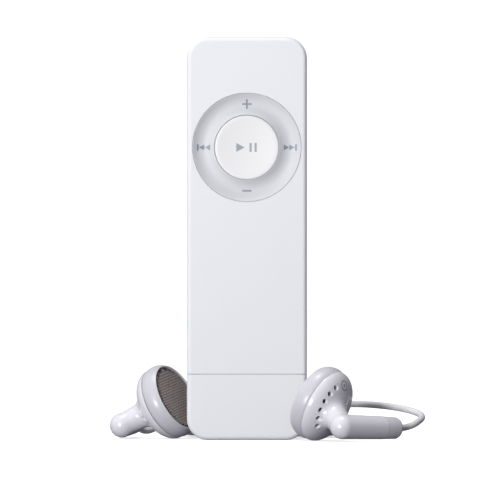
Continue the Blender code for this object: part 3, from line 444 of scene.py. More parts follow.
def circuit(name):
    """Green solder mask over traces, with tinned pads showing through."""
    made = Finish(name, (0.02, 0.16, 0.07), 0.38)
    cells = made.nodes.new("ShaderNodeTexVoronoi")
    cells.feature = "DISTANCE_TO_EDGE"
    cells.distance = "CHEBYCHEV"
    cells.inputs["Scale"].default_value = 1.0 / (1.6 * MM)
    made.links.new(made.place, cells.inputs["Vector"])
    ramp = made.nodes.new("ShaderNodeValToRGB")
    ramp.color_ramp.interpolation = "CONSTANT"
    ramp.color_ramp.elements[0].color = (0.05, 0.30, 0.13, 1.0)
    ramp.color_ramp.elements[1].position = 0.07
    ramp.color_ramp.elements[1].color = (0.02, 0.16, 0.07, 1.0)
    pad = ramp.color_ramp.elements.new(0.44)
    pad.color = (0.60, 0.58, 0.50, 1.0)
    made.links.new(cells.outputs["Distance"], ramp.inputs["Fac"])
    made.links.new(ramp.outputs["Color"], made.shader.inputs["Base Color"])
    made.bump(cells.outputs["Distance"], 0.03 * MM, 0.4)
    return made.material


def crinkled(name, colour, roughness):
    """Foil drawn over a cell, with shallow creases."""
    made = Finish(name, colour, roughness, metallic=0.9)
    made.mottle(made.noise(3 * MM, 4.0), 0.12)
    made.gloss(made.noise(1 * MM, 3.0), 0.08)
    made.bump(made.noise(2.2 * MM, 5.0), 0.10 * MM, 0.5)
    return made.material


def ribbed(name, colour, roughness, size):
    """A thin pressed film with fine rings."""
    made = Finish(name, colour, roughness)
    made.mottle(made.noise(2 * MM, 2.0), 0.10)
    made.bump(made.noise(size, 1.0), 0.02 * MM, 0.6)
    made.set("Transmission Weight", 0.25)
    return made.material


def felt(name, colour):
    """Matt damping cloth with a soft nap."""
    made = Finish(name, colour, 0.95)
    made.mottle(made.noise(0.35 * MM, 4.0), 0.45)
    made.bump(made.noise(0.12 * MM, 4.0), 0.06 * MM, 0.9)
    made.set("Sheen Weight", 0.3)
    return made.material


def clear_lens(name):
    """Clear, faintly green plastic."""
    made = Finish(name, (0.70, 0.80, 0.66), 0.12)
    made.mottle(made.noise(0.5 * MM, 2.0), 0.06)
    made.bump(made.noise(0.2 * MM, 2.0), 0.002 * MM, 0.3)
    made.set("Transmission Weight", 0.55)
    made.set("IOR", 1.49)
    return made.material


def ink(name, colour):
    """Thin print, a little uneven."""
    made = Finish(name, colour, 0.42)
    made.mottle(made.noise(0.3 * MM, 3.0), 0.08)
    made.bump(made.noise(0.1 * MM, 2.0), 0.001 * MM, 0.3)
    return made.material


# Mesh tools


def object_from(name, shape, crease=30.0):
    """An object from a bmesh, smooth except where faces meet at more than the crease angle."""
    bmesh.ops.recalc_face_normals(shape, faces=shape.faces)
    mesh = bpy.data.meshes.new(name)
    shape.to_mesh(mesh)
    shape.free()
    mesh.shade_smooth()
    mesh.set_sharp_from_angle(angle=math.radians(crease))
    made = bpy.data.objects.new(name, mesh)
    bpy.context.scene.collection.objects.link(made)
    return made


def loft(name, rings, closed=False, crease=30.0):
    """Faces from each ring of points to the next; a closed loft also joins the last to the first."""
    shape = bmesh.new()
    rows = [[shape.verts.new(point) for point in ring] for ring in rings]
    pairs = list(zip(rows, rows[1:]))
    if closed:
        pairs.append((rows[-1], rows[0]))
    for a, b in pairs:
        count = max(len(a), len(b))
        for i in range(count):
            j = (i + 1) % count
            corners = [a[i % len(a)], a[j % len(a)], b[j % len(b)], b[i % len(b)]]
            shape.faces.new(list(dict.fromkeys(corners)))
    for row in (rows[0], rows[-1]):
        if not closed and len(row) > 2:
            shape.faces.new(row)
    return object_from(name, shape, crease)


def softened(profile, size, steps=4):
    """A profile whose corners are turned into small arcs."""
    made = [profile[0]]
    for before, corner, after in zip(profile, profile[1:], profile[2:]):
        p, q, r = Vector(before), Vector(corner), Vector(after)
        if (q - p).angle(r - q) < math.radians(12):
            made.append(corner)
            continue
        start = q + (p - q).normalized() * min(size, 0.45 * (p - q).length)
        end = q + (r - q).normalized() * min(size, 0.45 * (r - q).length)
        for step in range(steps + 1):
            t = step / steps
            made.append(tuple((1 - t) ** 2 * start + 2 * t * (1 - t) * q + t**2 * end))
    made.append(profile[-1])
    return made


def lathe(name, profile, steps=96, closed=False, edge=0.0):
    """A profile of radius and height pairs turned about Z; closed if it is a ring's section."""
    if edge and closed:
        profile = softened([profile[-1], *profile, profile[0]], edge)[1:-1]
    elif edge:
        profile = softened(profile, edge)
    rings = []
    for radius, height in profile:
        if radius < 1e-7:
            rings.append([(0.0, 0.0, height)])
            continue
        turn = [math.tau * i / steps for i in range(steps)]
        rings.append([(radius * math.cos(a), radius * math.sin(a), height) for a in turn])
    return loft(name, rings, closed)


def rounded_rectangle(width, height, radius, steps=16):
    """The outline of a rectangle with round corners, centred on the origin."""
    points = []
    for quarter, (side_x, side_y) in enumerate(((1, 1), (-1, 1), (-1, -1), (1, -1))):
        for step in range(steps + 1):
            angle = math.radians(90.0 * (quarter + step / steps))
            x = side_x * (width / 2 - radius) + radius * math.cos(angle)
            y = side_y * (height / 2 - radius) + radius * math.sin(angle)
            points.append((x, y))
    return points


def slab(name, width, height, radius, depth, edge, steps=16, edge_steps=5):
    """A rounded rectangle in the local XY plane, with its edges rounded, centred on the origin."""
    levels = []
    for side in (-1, 1):
        order = range(edge_steps + 1)
        for step in order if side < 0 else reversed(order):
            angle = math.radians(90.0 * step / edge_steps)
            inset = edge * (1 - math.sin(angle))
            levels.append((inset, side * (depth / 2 - edge * (1 - math.cos(angle)))))
    rings = []
    for inset, level in levels:
        outline = rounded_rectangle(width - 2 * inset, height - 2 * inset, radius - inset, steps)
        rings.append([(x, y, level) for x, y in outline])
    return loft(name, rings)


def place(obj, matrix):
    """Moves an object's mesh, so that the object's own origin stays at the world's."""
    obj.data.transform(matrix)
    return obj


def block(name, low, high):
    """A box between two corners, used to cut with."""
    shape = bmesh.new()
    bmesh.ops.create_cube(shape, size=1.0)
    bmesh.ops.scale(shape, vec=[b - a for a, b in zip(low, high)], verts=shape.verts)
    bmesh.ops.translate(shape, vec=[(a + b) / 2 for a, b in zip(low, high)], verts=shape.verts)
    return object_from(name, shape)


def baked(obj):
    """Turns an object's modifiers into its mesh."""
    depsgraph = bpy.context.evaluated_depsgraph_get()
    mesh = bpy.data.meshes.new_from_object(obj.evaluated_get(depsgraph))
    obj.modifiers.clear()
    obj.data = mesh
    return obj


def boolean(obj, operation, *others):
    """Cuts with, adds or keeps the common part with each other object, and removes those."""
    for other in others:
        modifier = obj.modifiers.new(other.name, "BOOLEAN")
        modifier.operation = operation
        modifier.solver = "EXACT"
        modifier.object = other
    baked(obj)
    for other in others:
        bpy.data.objects.remove(other)
    return obj


def soft_edges(obj, width=SOFT_EDGE, segments=2):
    """Rounds the sharp edges that cutting left, and keeps flat faces flat in shading."""
    modifier = obj.modifiers.new("edges", "BEVEL")
    modifier.width = width
    modifier.segments = segments
    modifier.limit_method = "ANGLE"
    modifier.angle_limit = math.radians(50)
    baked(obj)
    obj.data.shade_smooth()
    obj.data.set_sharp_from_angle(angle=math.radians(40))
    weighted = obj.modifiers.new("normals", "WEIGHTED_NORMAL")
    weighted.keep_sharp = True
    return baked(obj)


def show(obj, material, body, slot, *nodes):
    """Gives a piece its material and body, and hides the CAD nodes it stands for."""
    obj.data.materials.clear()
    obj.data.materials.append(material)
    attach(obj, body)
    if nodes:
        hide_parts(*nodes)
    return obj


def at(x, y, z):
    """A shift, as a matrix."""
    return Matrix.Translation((x, y, z))


# Cords


def smooth_route(points, spacing):
    """Evenly spaced points on a smooth curve through the route's own points."""
    ahead = points[1:] + [2 * points[-1] - points[-2]]
    behind = [2 * points[0] - points[1]] + points[:-1]
    slopes = [(b - a) / 6 for a, b in zip(behind, ahead)]
    fine = [points[0]]
    for i in range(len(points) - 1):
        handles = (points[i], points[i] + slopes[i], points[i + 1] - slopes[i + 1], points[i + 1])
        fine += interpolate_bezier(*handles, 17)[1:]
    along = [0.0]
    for a, b in zip(fine, fine[1:]):
        along.append(along[-1] + (b - a).length)
    count = max(2, round(along[-1] / spacing))
    spaced = []
    k = 0
    for step in range(count + 1):
        target = along[-1] * step / count
        while k < len(along) - 2 and along[k + 1] < target:
            k += 1
        share = (target - along[k]) / max(along[k + 1] - along[k], 1e-9)
        spaced.append(fine[k].lerp(fine[k + 1], min(share, 1.0)))
    return spaced


def cord_curve(name, points, radius):
    """A round cord of one open spline."""
    curve = bpy.data.curves.new(name, "CURVE")
    curve.dimensions = "3D"
    curve.bevel_depth = radius
    curve.bevel_resolution = 4
    curve.use_fill_caps = True
    spline = curve.splines.new("POLY")
    spline.points.add(len(points) - 1)
    for point, spot in zip(spline.points, points):
        point.co = (*spot, 1.0)
    made = bpy.data.objects.new(name, curve)
    bpy.context.scene.collection.objects.link(made)
    return made


def turns(first_angle, count, first_r, last_r, height, per_turn=24):
    """Points of a coil's layer, clockwise from above, from one radius to another."""
    steps = round(count * per_turn)
    points = []
    for step in range(steps + 1):
        share = step / steps
        angle = math.radians(first_angle - 360.0 * count * share)
        radius = first_r + (last_r - first_r) * share
        x = COIL_CENTRE.x + radius * math.cos(angle)
        y = COIL_CENTRE.y + radius * math.sin(angle)
        points.append(Vector((x, y, height)))
    return points


def route(points):
    """A route given point by point, brought from millimetres to metres."""
    return [Vector(point) * MM for point in points]


def branch_points(side):
    """From the earbud's collar, round the top of the coil and along to the splitter."""
    mouth = bud_frame(side) @ stem_frame() @ Vector((0, 0, STEM_LENGTH + COLLAR_LENGTH - CORD_SUNK))
    inner_r, first_angle, past = BRANCH_LAYERS[side]
    first_r = inner_r + BRANCH_PITCH * past
    last_r = inner_r + BRANCH_PITCH * BRANCH_TURNS
    layer = turns(first_angle, BRANCH_TURNS - past, first_r, last_r, BRANCH_LAYER_Z)
    pair = route(PAIR_ROUTES[side])
    end = Vector((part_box("cord_splitter")[0].x, pair[-1].y, pair[-1].z))
    return [mouth, *route(BRANCH_ROUTES[side]), *layer, *pair, end]


def main_points():
    """From the splitter, through the coil's two lower layers, and up to the plug's relief."""
    begun = route(MAIN_START_ROUTE)
    start = Vector((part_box("cord_splitter")[1].x, begun[0].y, begun[0].z))
    low_layer = turns(MAIN_FIRST_ANGLE, MAIN_LOW_TURNS, MAIN_LOW_OUTER_R, MAIN_INNER_R, MAIN_LOW_Z)
    turn_angle = MAIN_FIRST_ANGLE - 360.0 * MAIN_LOW_TURNS - MAIN_CLIMB
    high_turns = (turn_angle % 360.0 - MAIN_LAST_ANGLE) / 360.0 + MAIN_HIGH_WHOLE_TURNS
    high_layer = turns(turn_angle, high_turns, MAIN_INNER_R, MAIN_HIGH_OUTER_R, MAIN_HIGH_Z)
    middle_z = (MAIN_LOW_Z + MAIN_HIGH_Z) / 2
    middle = turns(turn_angle + MAIN_CLIMB / 2, 1 / 360, MAIN_INNER_R, MAIN_INNER_R, middle_z, 360)[:1]
    return [start, *begun, *low_layer, *middle, *high_layer, *route(MAIN_END_ROUTE)]


def cords():
    """Both branches and the main cord, each at its real length."""
    jacket = rubbery("cord_jacket", (0.80, 0.80, 0.81), 0.36)
    for side in ("right", "left"):
        points = smooth_route(branch_points(side), 0.6 * MM)
        branch = cord_curve(f"{side}_branch", points, BRANCH_R)
        show(branch, jacket, "earphones", "cord_white", f"{side}_branch_cord", f"{side}_pair_run")
    points = smooth_route(main_points(), 0.8 * MM)
    main = cord_curve("main_cord", points, MAIN_R)
    show(main, jacket, "earphones", "cord_white", "main_cord_start", "main_cord_end", "cord_coil")


# Earbud frames


def bud_frame(side):
    """An earbud's own frame, from where it lies and how its stem points."""
    centre, dome, stem = (Vector(values) for values in BUD_PLACES[side])
    dome = dome.normalized()
    across = (stem - dome * stem.dot(dome)).normalized()
    sideways = dome.cross(across)
    made = Matrix((across, sideways, dome)).transposed().to_4x4()
    made.translation = centre * MM
    return made


def stem_frame():
    """The stem's frame within an earbud: its root at the elbow, +Z along the stem."""
    direction = Vector((math.cos(STEM_TILT), 0.0, math.sin(STEM_TILT)))
    turn = direction.to_track_quat("Z", "Y").to_matrix().to_4x4()
    return Matrix.Translation(ELBOW) @ turn


# Player


def player_form(name):
    """The player's outer form, with its round corners and edges."""
    form = slab(name, WIDTH, HEIGHT, CORNER_R, DEPTH, EDGE_R, steps=24, edge_steps=8)
    return place(form, at(0, (FRONT_Y + BACK_Y) / 2, HEIGHT / 2) @ FRONT)


def casing_cavity():
    """The hollow inside both casings."""
    base = CAP_TOP - 4 * MM
    height = HEIGHT - WALL - base
    cavity = slab("cavity", WIDTH - 2 * WALL, height, CORNER_R - WALL, DEPTH - 2 * WALL, 0.3 * MM)
    return place(cavity, at(0, (FRONT_Y + BACK_Y) / 2, base + height / 2) @ FRONT)


def drilled(name, radius, low, high, matrix, steps=96):
    """A round cutter between two heights of its own frame."""
    return place(lathe(name, [(0.0, high), (radius, high), (radius, low), (0.0, low)], steps), matrix)


def casings():
    """Front and rear casing, and the cap, each cut from the same outer form."""
    gloss = moulded("casing_gloss", CASING_WHITE, 0.50, shine=0.2)
    pad_front = at(0, 0, PAD_Z) @ FRONT
    front = player_form("casing_front")
    front_part = block("front_part", (-WIDTH, -DEPTH, BODY_BASE), (WIDTH, -HALF_SPLIT, 2 * HEIGHT))
    boolean(front, "INTERSECT", front_part)
    opening = drilled("pad_opening", OPENING_R, 0.0, DEPTH, pad_front, 128)
    jack = drilled("jack_hole", JACK_HOLE_R, -2 * WALL, WALL, at(0, JACK_Y, HEIGHT))
    boolean(front, "DIFFERENCE", casing_cavity(), opening, jack)
    show(soft_edges(front), gloss, "player", "casing_white", "front_shell")

    rear = player_form("casing_rear")
    rear_part = block("rear_part", (-WIDTH, HALF_SPLIT, BODY_BASE), (WIDTH, DEPTH, 2 * HEIGHT))
    boolean(rear, "INTERSECT", rear_part)
    middle = at(0, BACK_Y, KNOB_Z + KNOB_TRAVEL / 2) @ REAR
    width = KNOB_WIDTH + 2 * GAP
    recess = slab("recess", width, KNOB_LENGTH + KNOB_TRAVEL + 2 * GAP, width / 2, 2 * KNOB_RECESS, 0.1 * MM)
    slot = slab("slot", 2.2 * MM, KNOB_TRAVEL + 2.6 * MM, 1.1 * MM, 4 * WALL, 0.05 * MM)
    press = at(0, BACK_Y, PRESS_Z) @ REAR
    lamp = at(0, BACK_Y, LED_Z) @ REAR
    holes = [
        casing_cavity(),
        drilled("jack_hole", JACK_HOLE_R, -2 * WALL, WALL, at(0, JACK_Y, HEIGHT)),
        place(recess, middle),
        place(slot, middle),
        drilled("press_hole", PRESS_R + 0.15 * MM, -2 * WALL, WALL, press),
        drilled("lamp_hole", LED_R + THIN_GAP, -2 * WALL, WALL, lamp),
    ]
    boolean(rear, "DIFFERENCE", *holes)
    show(soft_edges(rear), gloss, "player", "casing_white", "rear_shell")

    cap = player_form("plug_cap")
    boolean(cap, "INTERSECT", block("cap_part", (-WIDTH, -DEPTH, -WALL), (WIDTH, DEPTH, CAP_TOP)))
    floor = 1.5 * MM
    hollow = slab("cap_hollow", WIDTH - 2 * WALL, DEPTH - 2 * WALL, 1.0 * MM, CAP_TOP, 0.2 * MM)
    boolean(cap, "DIFFERENCE", place(hollow, at(0, 0, floor + CAP_TOP / 2)))
    show(soft_edges(cap), gloss, "cap", "casing_white", "usb_cap")


def valley(radius):
    """The ring's front surface, counted forward from the player's middle: a dish between two rims."""
    middle = (RING_R + RING_HOLE_R) / 2
    half = (RING_R - RING_HOLE_R) / 2 - 0.12 * MM
    across = min(1.0, abs(radius - middle) / half)
    return RING_FRONT - RING_VALLEY * (1 - across**2)


def button_face(radius):
    """The centre button's front surface, slightly dished."""
    return BUTTON_FRONT - BUTTON_DISH * (1 - min(1.0, radius / (6.0 * MM)) ** 2)


def pad():
    """The control ring with its tabs, and the centre button."""
    pad_place = at(0, 0, PAD_Z) @ FRONT
    skirt_r, skirt_back, back = 10.2 * MM, 2.2 * MM, 2.75 * MM
    profile = [(RING_R, skirt_back), (skirt_r, skirt_back), (skirt_r, back), (RING_HOLE_R, back)]
    steps = 30
    for step in range(steps + 1):
        radius = RING_HOLE_R + (RING_R - RING_HOLE_R) * step / steps
        profile.append((radius, valley(radius)))
    ring = lathe("pad_ring", profile, 160, closed=True, edge=0.04 * MM)
    tab_half, tab_start, tab_end = 4.0 * MM, 10.4 * MM, 13.0 * MM
    tab_low, tab_high = 2.3 * MM, 2.85 * MM
    tabs = block("tabs", (-tab_half, -tab_end, tab_low), (tab_half, tab_end, tab_high))
    boolean(tabs, "DIFFERENCE", drilled("tabs_middle", tab_start, tab_low - WALL, tab_high + WALL, Matrix()))
    boolean(ring, "UNION", tabs)
    ring_grey = moulded("pad_grey", (0.66, 0.67, 0.695), 0.55)
    show(place(ring, pad_place), ring_grey, "ring", "pad_grey", "control_ring")

    flange_front, flange_back = 2.35 * MM, 1.98 * MM
    profile = [(0.0, button_face(0.0))]
    steps = 18
    for step in range(1, steps + 1):
        radius = 6.5 * MM * step / steps
        profile.append((radius, button_face(radius)))
    profile += [(BUTTON_R, BUTTON_FRONT - 0.22 * MM), (BUTTON_R, flange_front)]
    profile += [(BUTTON_FLANGE_R, flange_front), (BUTTON_FLANGE_R, flange_back), (0.0, flange_back)]
    button = lathe("pad_button", profile, 128, edge=0.12 * MM)
    button_white = moulded("button_white", (0.84, 0.84, 0.85), 0.42, coat=0.05)
    show(place(button, pad_place), button_white, "centre_button", "button_white", "centre_button")
    marks()


def mark(name, outlines, surface, body, material, slot):
    """Thin printed shapes that lie on a turned surface; an outline is a convex list of points in mm."""
    shape = bmesh.new()
    for outline in outlines:
        corners = [shape.verts.new((x * MM, y * MM, 0.0)) for x, y in outline]
        shape.faces.new(corners)
    bmesh.ops.triangulate(shape, faces=shape.faces)
    bmesh.ops.subdivide_edges(shape, edges=shape.edges, cuts=7, use_grid_fill=True)
    made = bmesh.ops.extrude_face_region(shape, geom=shape.faces[:])
    raised = {v for v in made["geom"] if isinstance(v, bmesh.types.BMVert)}
    for vert in shape.verts:
        height = surface(math.hypot(vert.co.x, vert.co.y))
        vert.co.z = height + (MARK_PROUD if vert in raised else -3 * MARK_PROUD)
    obj = place(object_from(name, shape), at(0, 0, PAD_Z) @ FRONT)
    return show(obj, material, body, slot)


def bar(x, y, width, height):
    """A rectangle's corners about its middle."""
    return [
        (x - width / 2, y - height / 2),
        (x + width / 2, y - height / 2),
        (x + width / 2, y + height / 2),
        (x - width / 2, y + height / 2),
    ]


def arrow(base_x, tip_x, y, height):
    """A triangle from its upright base to its tip."""
    return [(base_x, y - height / 2), (base_x, y + height / 2), (tip_x, y)]


def marks():
    """Plus and minus, back and forward, and play with pause."""
    on_ring = ink("ring_ink", (0.27, 0.30, 0.34))
    on_button = ink("button_ink", (0.36, 0.39, 0.42))
    reach = 9.05
    line = 0.36
    plus = [bar(0, reach, 2.0, line), bar(0, reach + 0.59, line, 0.82), bar(0, reach - 0.59, line, 0.82)]
    mark("mark_plus", plus, valley, "ring", on_ring, "pad_grey")
    mark("mark_minus", [bar(0, -reach, 1.9, line)], valley, "ring", on_ring, "pad_grey")
    for side, name in ((-1, "mark_back"), (1, "mark_forward")):
        inner = side * (reach - 1.36)
        shapes = [
            arrow(inner, inner + side * 1.17, 0, 1.2),
            arrow(inner + side * 1.18, inner + side * 2.34, 0, 1.2),
            bar(side * (reach + 1.18), 0, line, 1.32),
        ]
        mark(name, shapes, valley, "ring", on_ring, "pad_grey")
    play = [arrow(-2.2, -0.46, 0, 1.85), bar(0.78, 0, 0.46, 1.85), bar(1.82, 0, 0.46, 1.85)]
    mark("mark_play", play, button_face, "centre_button", on_button, "button_white")


def back_controls():
    """Mode knob with its grip lines, battery button, its lamp, and the socket's ring on top."""
    gloss = moulded("control_gloss", CASING_WHITE, 0.50, shine=0.2)
    depth = KNOB_HIGH.y - (BACK_Y - KNOB_RECESS + 0.05 * MM)
    knob = slab("mode_slider", KNOB_WIDTH, KNOB_LENGTH, KNOB_WIDTH / 2, depth, 0.15 * MM, steps=20)
    knob_place = at(0, KNOB_HIGH.y - depth / 2, KNOB_Z) @ REAR
    stem = drilled("knob_stem", 1.0 * MM, KNOB_LOW.y - KNOB_HIGH.y + depth / 2, 0.0, Matrix(), 48)
    boolean(knob, "UNION", stem)
    grooves = []
    for number in range(-2, 3):
        groove = slab(f"groove_{number}", 2.8 * MM, 0.3 * MM, 0.14 * MM, 0.3 * MM, 0.05 * MM, steps=4)
        grooves.append(place(groove, at(0, 0.7 * MM * number, depth / 2)))
    boolean(knob, "DIFFERENCE", *grooves)
    show(place(soft_edges(knob, 0.02 * MM), knob_place), gloss, "mode_knob", "casing_white", "mode_knob")

    top = PRESS_HIGH.y
    rim_y = 3.0 * MM
    flange_r = 3.1 * MM
    profile = [(0.0, top - 0.12 * MM), (1.2 * MM, top - 0.09 * MM), (2.1 * MM, top)]
    profile += [(PRESS_R, top - 0.12 * MM), (PRESS_R, rim_y)]
    profile += [(flange_r, rim_y), (flange_r, PRESS_LOW.y), (0.0, PRESS_LOW.y)]
    press = place(lathe("battery_press", profile, 96, edge=0.1 * MM), at(0, 0, PRESS_Z) @ REAR)
    show(press, gloss, "battery_button", "casing_white", "battery_button")
    profile = [(0.0, LED_HIGH.y), (0.4 * MM, LED_HIGH.y - 0.02 * MM), (LED_R, LED_HIGH.y - 0.12 * MM)]
    profile += [(LED_R, LED_LOW.y), (0.0, LED_LOW.y)]
    lamp = place(lathe("battery_lamp", profile, 48, edge=0.05 * MM), at(0, 0, LED_Z) @ REAR)
    show(lamp, clear_lens("lamp_lens"), "player", "lens", "battery_led")
    outer = JACK_HOLE_R - THIN_GAP
    profile = [(outer, BEZEL_HIGH.z), (outer, BEZEL_LOW.z), (JACK_BORE_R, BEZEL_LOW.z)]
    profile += [(JACK_BORE_R, BEZEL_HIGH.z - 0.15 * MM), (JACK_BORE_R + 0.12 * MM, BEZEL_HIGH.z)]
    bezel = place(lathe("socket_ring", profile, 96, closed=True, edge=0.04 * MM), at(0, JACK_Y, 0))
    bright = brushed("bezel_steel", (0.66, 0.66, 0.67), 0.24, (1.0, 1.0, 12.0))
    show(bezel, bright, "player", "steel", "jack_bezel")


# Earbuds


def rounded_field(points, start, end, start_r, end_r):
    """Distance to a bar with round ends whose radius changes from start to end."""
    along = np.array(end - start)
    offset = points - np.array(start)
    share = np.clip(offset @ along / (along @ along), 0.0, 1.0)
    distance = np.linalg.norm(offset - share[:, None] * along, axis=1)
    return distance - (start_r + share * (end_r - start_r))


def melted(a, b, reach):
    """Two distances joined, with a fillet where they come within reach of each other."""
    near = np.maximum(reach - np.abs(a - b), 0.0) / reach
    return np.minimum(a, b) - near**2 * reach / 4


def bud_field(points):
    """Distance, near enough, to the earbud's outer form: dome, neck, elbow and stem in one flow."""
    radii = np.array((BUD_SEAM_R, BUD_SEAM_R, BUD_DOME_H))
    k0 = np.linalg.norm(points / radii, axis=1)
    k1 = np.linalg.norm(points / radii**2, axis=1)
    dome = k0 * (k0 - 1.0) / k1
    stem_end = stem_frame() @ Vector((0, 0, STEM_LENGTH + 2 * MM))
    neck = rounded_field(points, NECK_ROOT, ELBOW, NECK_ROOT_R, NECK_END_R)
    stem = rounded_field(points, ELBOW, stem_end, ELBOW_CORE_R, STEM_END_R)
    arm = melted(neck, stem, 0.4 * MM)
    return melted(dome, arm, 1.7 * MM)


def settled(points, rounds=8):
    """Points moved along the field's slope until they lie on its surface."""
    step = 0.01 * MM
    for _ in range(rounds):
        value = bud_field(points)
        slope = np.empty_like(points)
        for axis in range(3):
            ahead = points.copy()
            ahead[:, axis] += step
            slope[:, axis] = (bud_field(ahead) - value) / step
        size = np.maximum((slope**2).sum(axis=1), 0.2)
        points = points - slope * (value / size)[:, None]
    return points, slope / np.linalg.norm(slope, axis=1)[:, None]


def oval(radius, height, steps):
    """The profile of a round or flattened ball, from its top to its foot."""
    angles = [math.pi * step / steps for step in range(1, steps)]
    middle = [(radius * math.sin(angle), height * math.cos(angle)) for angle in angles]
    return [(0.0, height), *middle, (0.0, -height)]


def trimmed(obj, point, normal):
    """Removes what lies on the normal's side of a plane, and closes the cut."""
    shape = bmesh.new()
    shape.from_mesh(obj.data)
    geometry = shape.verts[:] + shape.edges[:] + shape.faces[:]
    bmesh.ops.bisect_plane(
        shape, geom=geometry, dist=1e-7, plane_co=point, plane_no=normal, clear_outer=True
    )
    rim = [edge for edge in shape.edges if edge.is_boundary]
    bmesh.ops.contextual_create(shape, geom=rim)
    bmesh.ops.recalc_face_normals(shape, faces=shape.faces)
    shape.to_mesh(obj.data)
    shape.free()
    return obj


def bud_form(name):
    """The earbud's moulding: rough shapes are fused on a fine grid, then drawn onto the field."""
    rough = lathe(name, oval(BUD_SEAM_R, BUD_DOME_H, 24), 48)
    neck_turn = (ELBOW - NECK_ROOT).to_track_quat("Z", "Y").to_matrix().to_4x4()
    neck_length = (ELBOW - NECK_ROOT).length
    neck = lathe("neck", [(0, neck_length), (2.5 * MM, neck_length), (4.0 * MM, 0), (0, 0)], 32)
    place(neck, Matrix.Translation(NECK_ROOT) @ neck_turn)
    elbow = place(lathe("elbow", oval(ELBOW_R, ELBOW_R, 12), 32), Matrix.Translation(ELBOW))
    reach = STEM_LENGTH + 1.5 * MM
    stem = place(lathe("stem", [(0, reach), (STEM_END_R, reach), (ELBOW_R, 0), (0, 0)], 32), stem_frame())
    boolean(rough, "UNION", neck, elbow, stem)
    remesh = rough.modifiers.new("grid", "REMESH")
    remesh.mode = "VOXEL"
    remesh.voxel_size = 0.2 * MM
    baked(rough)
    count = len(rough.data.vertices)
    points = np.empty(count * 3)
    rough.data.vertices.foreach_get("co", points)
    points, _ = settled(points.reshape(-1, 3))
    rough.data.vertices.foreach_set("co", points.ravel())
    rough.data.update()
    trimmed(rough, Vector((0, 0, 0)), Vector((0, 0, -1)))
    stem_axis = stem_frame().to_3x3() @ Vector((0, 0, 1))
    trimmed(rough, stem_frame() @ Vector((0, 0, STEM_LENGTH)), stem_axis)
    return rough


def dome_spot(radius, angle):
    """A point on the bare dome, and the direction that faces out of it there."""
    height = BUD_DOME_H * math.sqrt(1 - (radius / BUD_SEAM_R) ** 2)
    spot = Vector((radius * math.cos(angle), radius * math.sin(angle), height))
    normal = Vector((spot.x / BUD_SEAM_R**2, spot.y / BUD_SEAM_R**2, height / BUD_DOME_H**2))
    return spot, normal.normalized()


def vent(number):
    """A drilled and countersunk hole, square to the dome's surface."""
    angle = VENT_FIRST_ANGLE + VENT_STEP * number
    spot, normal = dome_spot(VENT_CIRCLE_R - VENT_CIRCLE_SHRINK * number, angle)
    profile = [(0.0, 0.6 * MM), (VENT_R + 0.55 * MM, 0.6 * MM), (VENT_R + 0.18 * MM, 0.0)]
    profile += [(VENT_R, -0.28 * MM), (VENT_R, -3.4 * MM), (0.0, -3.4 * MM)]
    cutter = lathe(f"vent_{number}", profile, 32)
    turn = normal.to_track_quat("Z", "Y").to_matrix().to_4x4()
    return place(cutter, at(*spot) @ turn)


def bud_back():
    """The earbud's moulding, hollowed and vented."""
    back = bud_form("bud_back")
    inner_r = BUD_SEAM_R - BUD_WALL
    hollow = oval(inner_r, BUD_DOME_H - BUD_WALL, 64)[:33]
    hollow += [(inner_r, -WALL), (0.0, -WALL)]
    boolean(back, "DIFFERENCE", lathe("bud_hollow", hollow, 64), *[vent(i) for i in range(VENT_COUNT)])
    back.data.shade_smooth()
    back.data.set_sharp_from_angle(angle=math.radians(38))
    return back


def bumper():
    """The soft ring round the rim, from the seam's groove to the lip round the mesh."""
    seam = -0.06 * MM
    profile = [(BUMPER_BORE_R, seam), (BUD_SEAM_R - 0.14 * MM, seam), (BUD_SEAM_R + 0.02 * MM, -0.3 * MM)]
    profile += [(BUMPER_R - 0.06 * MM, -0.75 * MM), (BUMPER_R, -1.3 * MM), (BUMPER_R - 0.03 * MM, -1.8 * MM)]
    profile += [(BUMPER_R - 0.14 * MM, -2.3 * MM), (BUMPER_R - 0.33 * MM, -2.8 * MM)]
    profile += [(BUMPER_RIM_R + 0.1 * MM, -3.2 * MM), (BUMPER_RIM_R - 0.08 * MM, -BUMPER_DEPTH)]
    profile.append((BUMPER_BORE_R + 0.04 * MM, -BUMPER_DEPTH + 0.06 * MM))
    profile.append((BUMPER_BORE_R, -BUMPER_DEPTH + 0.3 * MM))
    return lathe("bumper", softened(profile + profile[:1], 0.3 * MM)[:-1], 128, closed=True)


def mesh_dome():
    """The woven wire mesh: a square net that goes over and under, drawn to a shallow dome."""
    pitch = 0.56 * MM
    count = math.ceil(MESH_R / pitch) + 1
    shape = bmesh.new()
    bmesh.ops.create_grid(shape, x_segments=2 * count, y_segments=2 * count, size=count * pitch)
    for vert in shape.verts:
        radius = math.hypot(vert.co.x, vert.co.y)
        over = 1 if (round(vert.co.x / pitch) + round(vert.co.y / pitch)) % 2 else -1
        vert.co.z = mesh_height(radius) + 0.03 * MM * over
    outside = [v for v in shape.verts if math.hypot(v.co.x, v.co.y) > MESH_R - THIN_GAP]
    bmesh.ops.delete(shape, geom=outside, context="VERTS")
    loose = [v for v in shape.verts if len(v.link_faces) < 1]
    bmesh.ops.delete(shape, geom=loose, context="VERTS")
    net = object_from("mesh_net", shape)
    wires = net.modifiers.new("wires", "WIREFRAME")
    wires.thickness = 0.22 * MM
    wires.use_even_offset = False
    return baked(net)


def mesh_height(radius):
    """How far in the mesh lies, at a distance from its middle."""
    return MESH_HEIGHT + MESH_DISH * (radius / MESH_R) ** 2


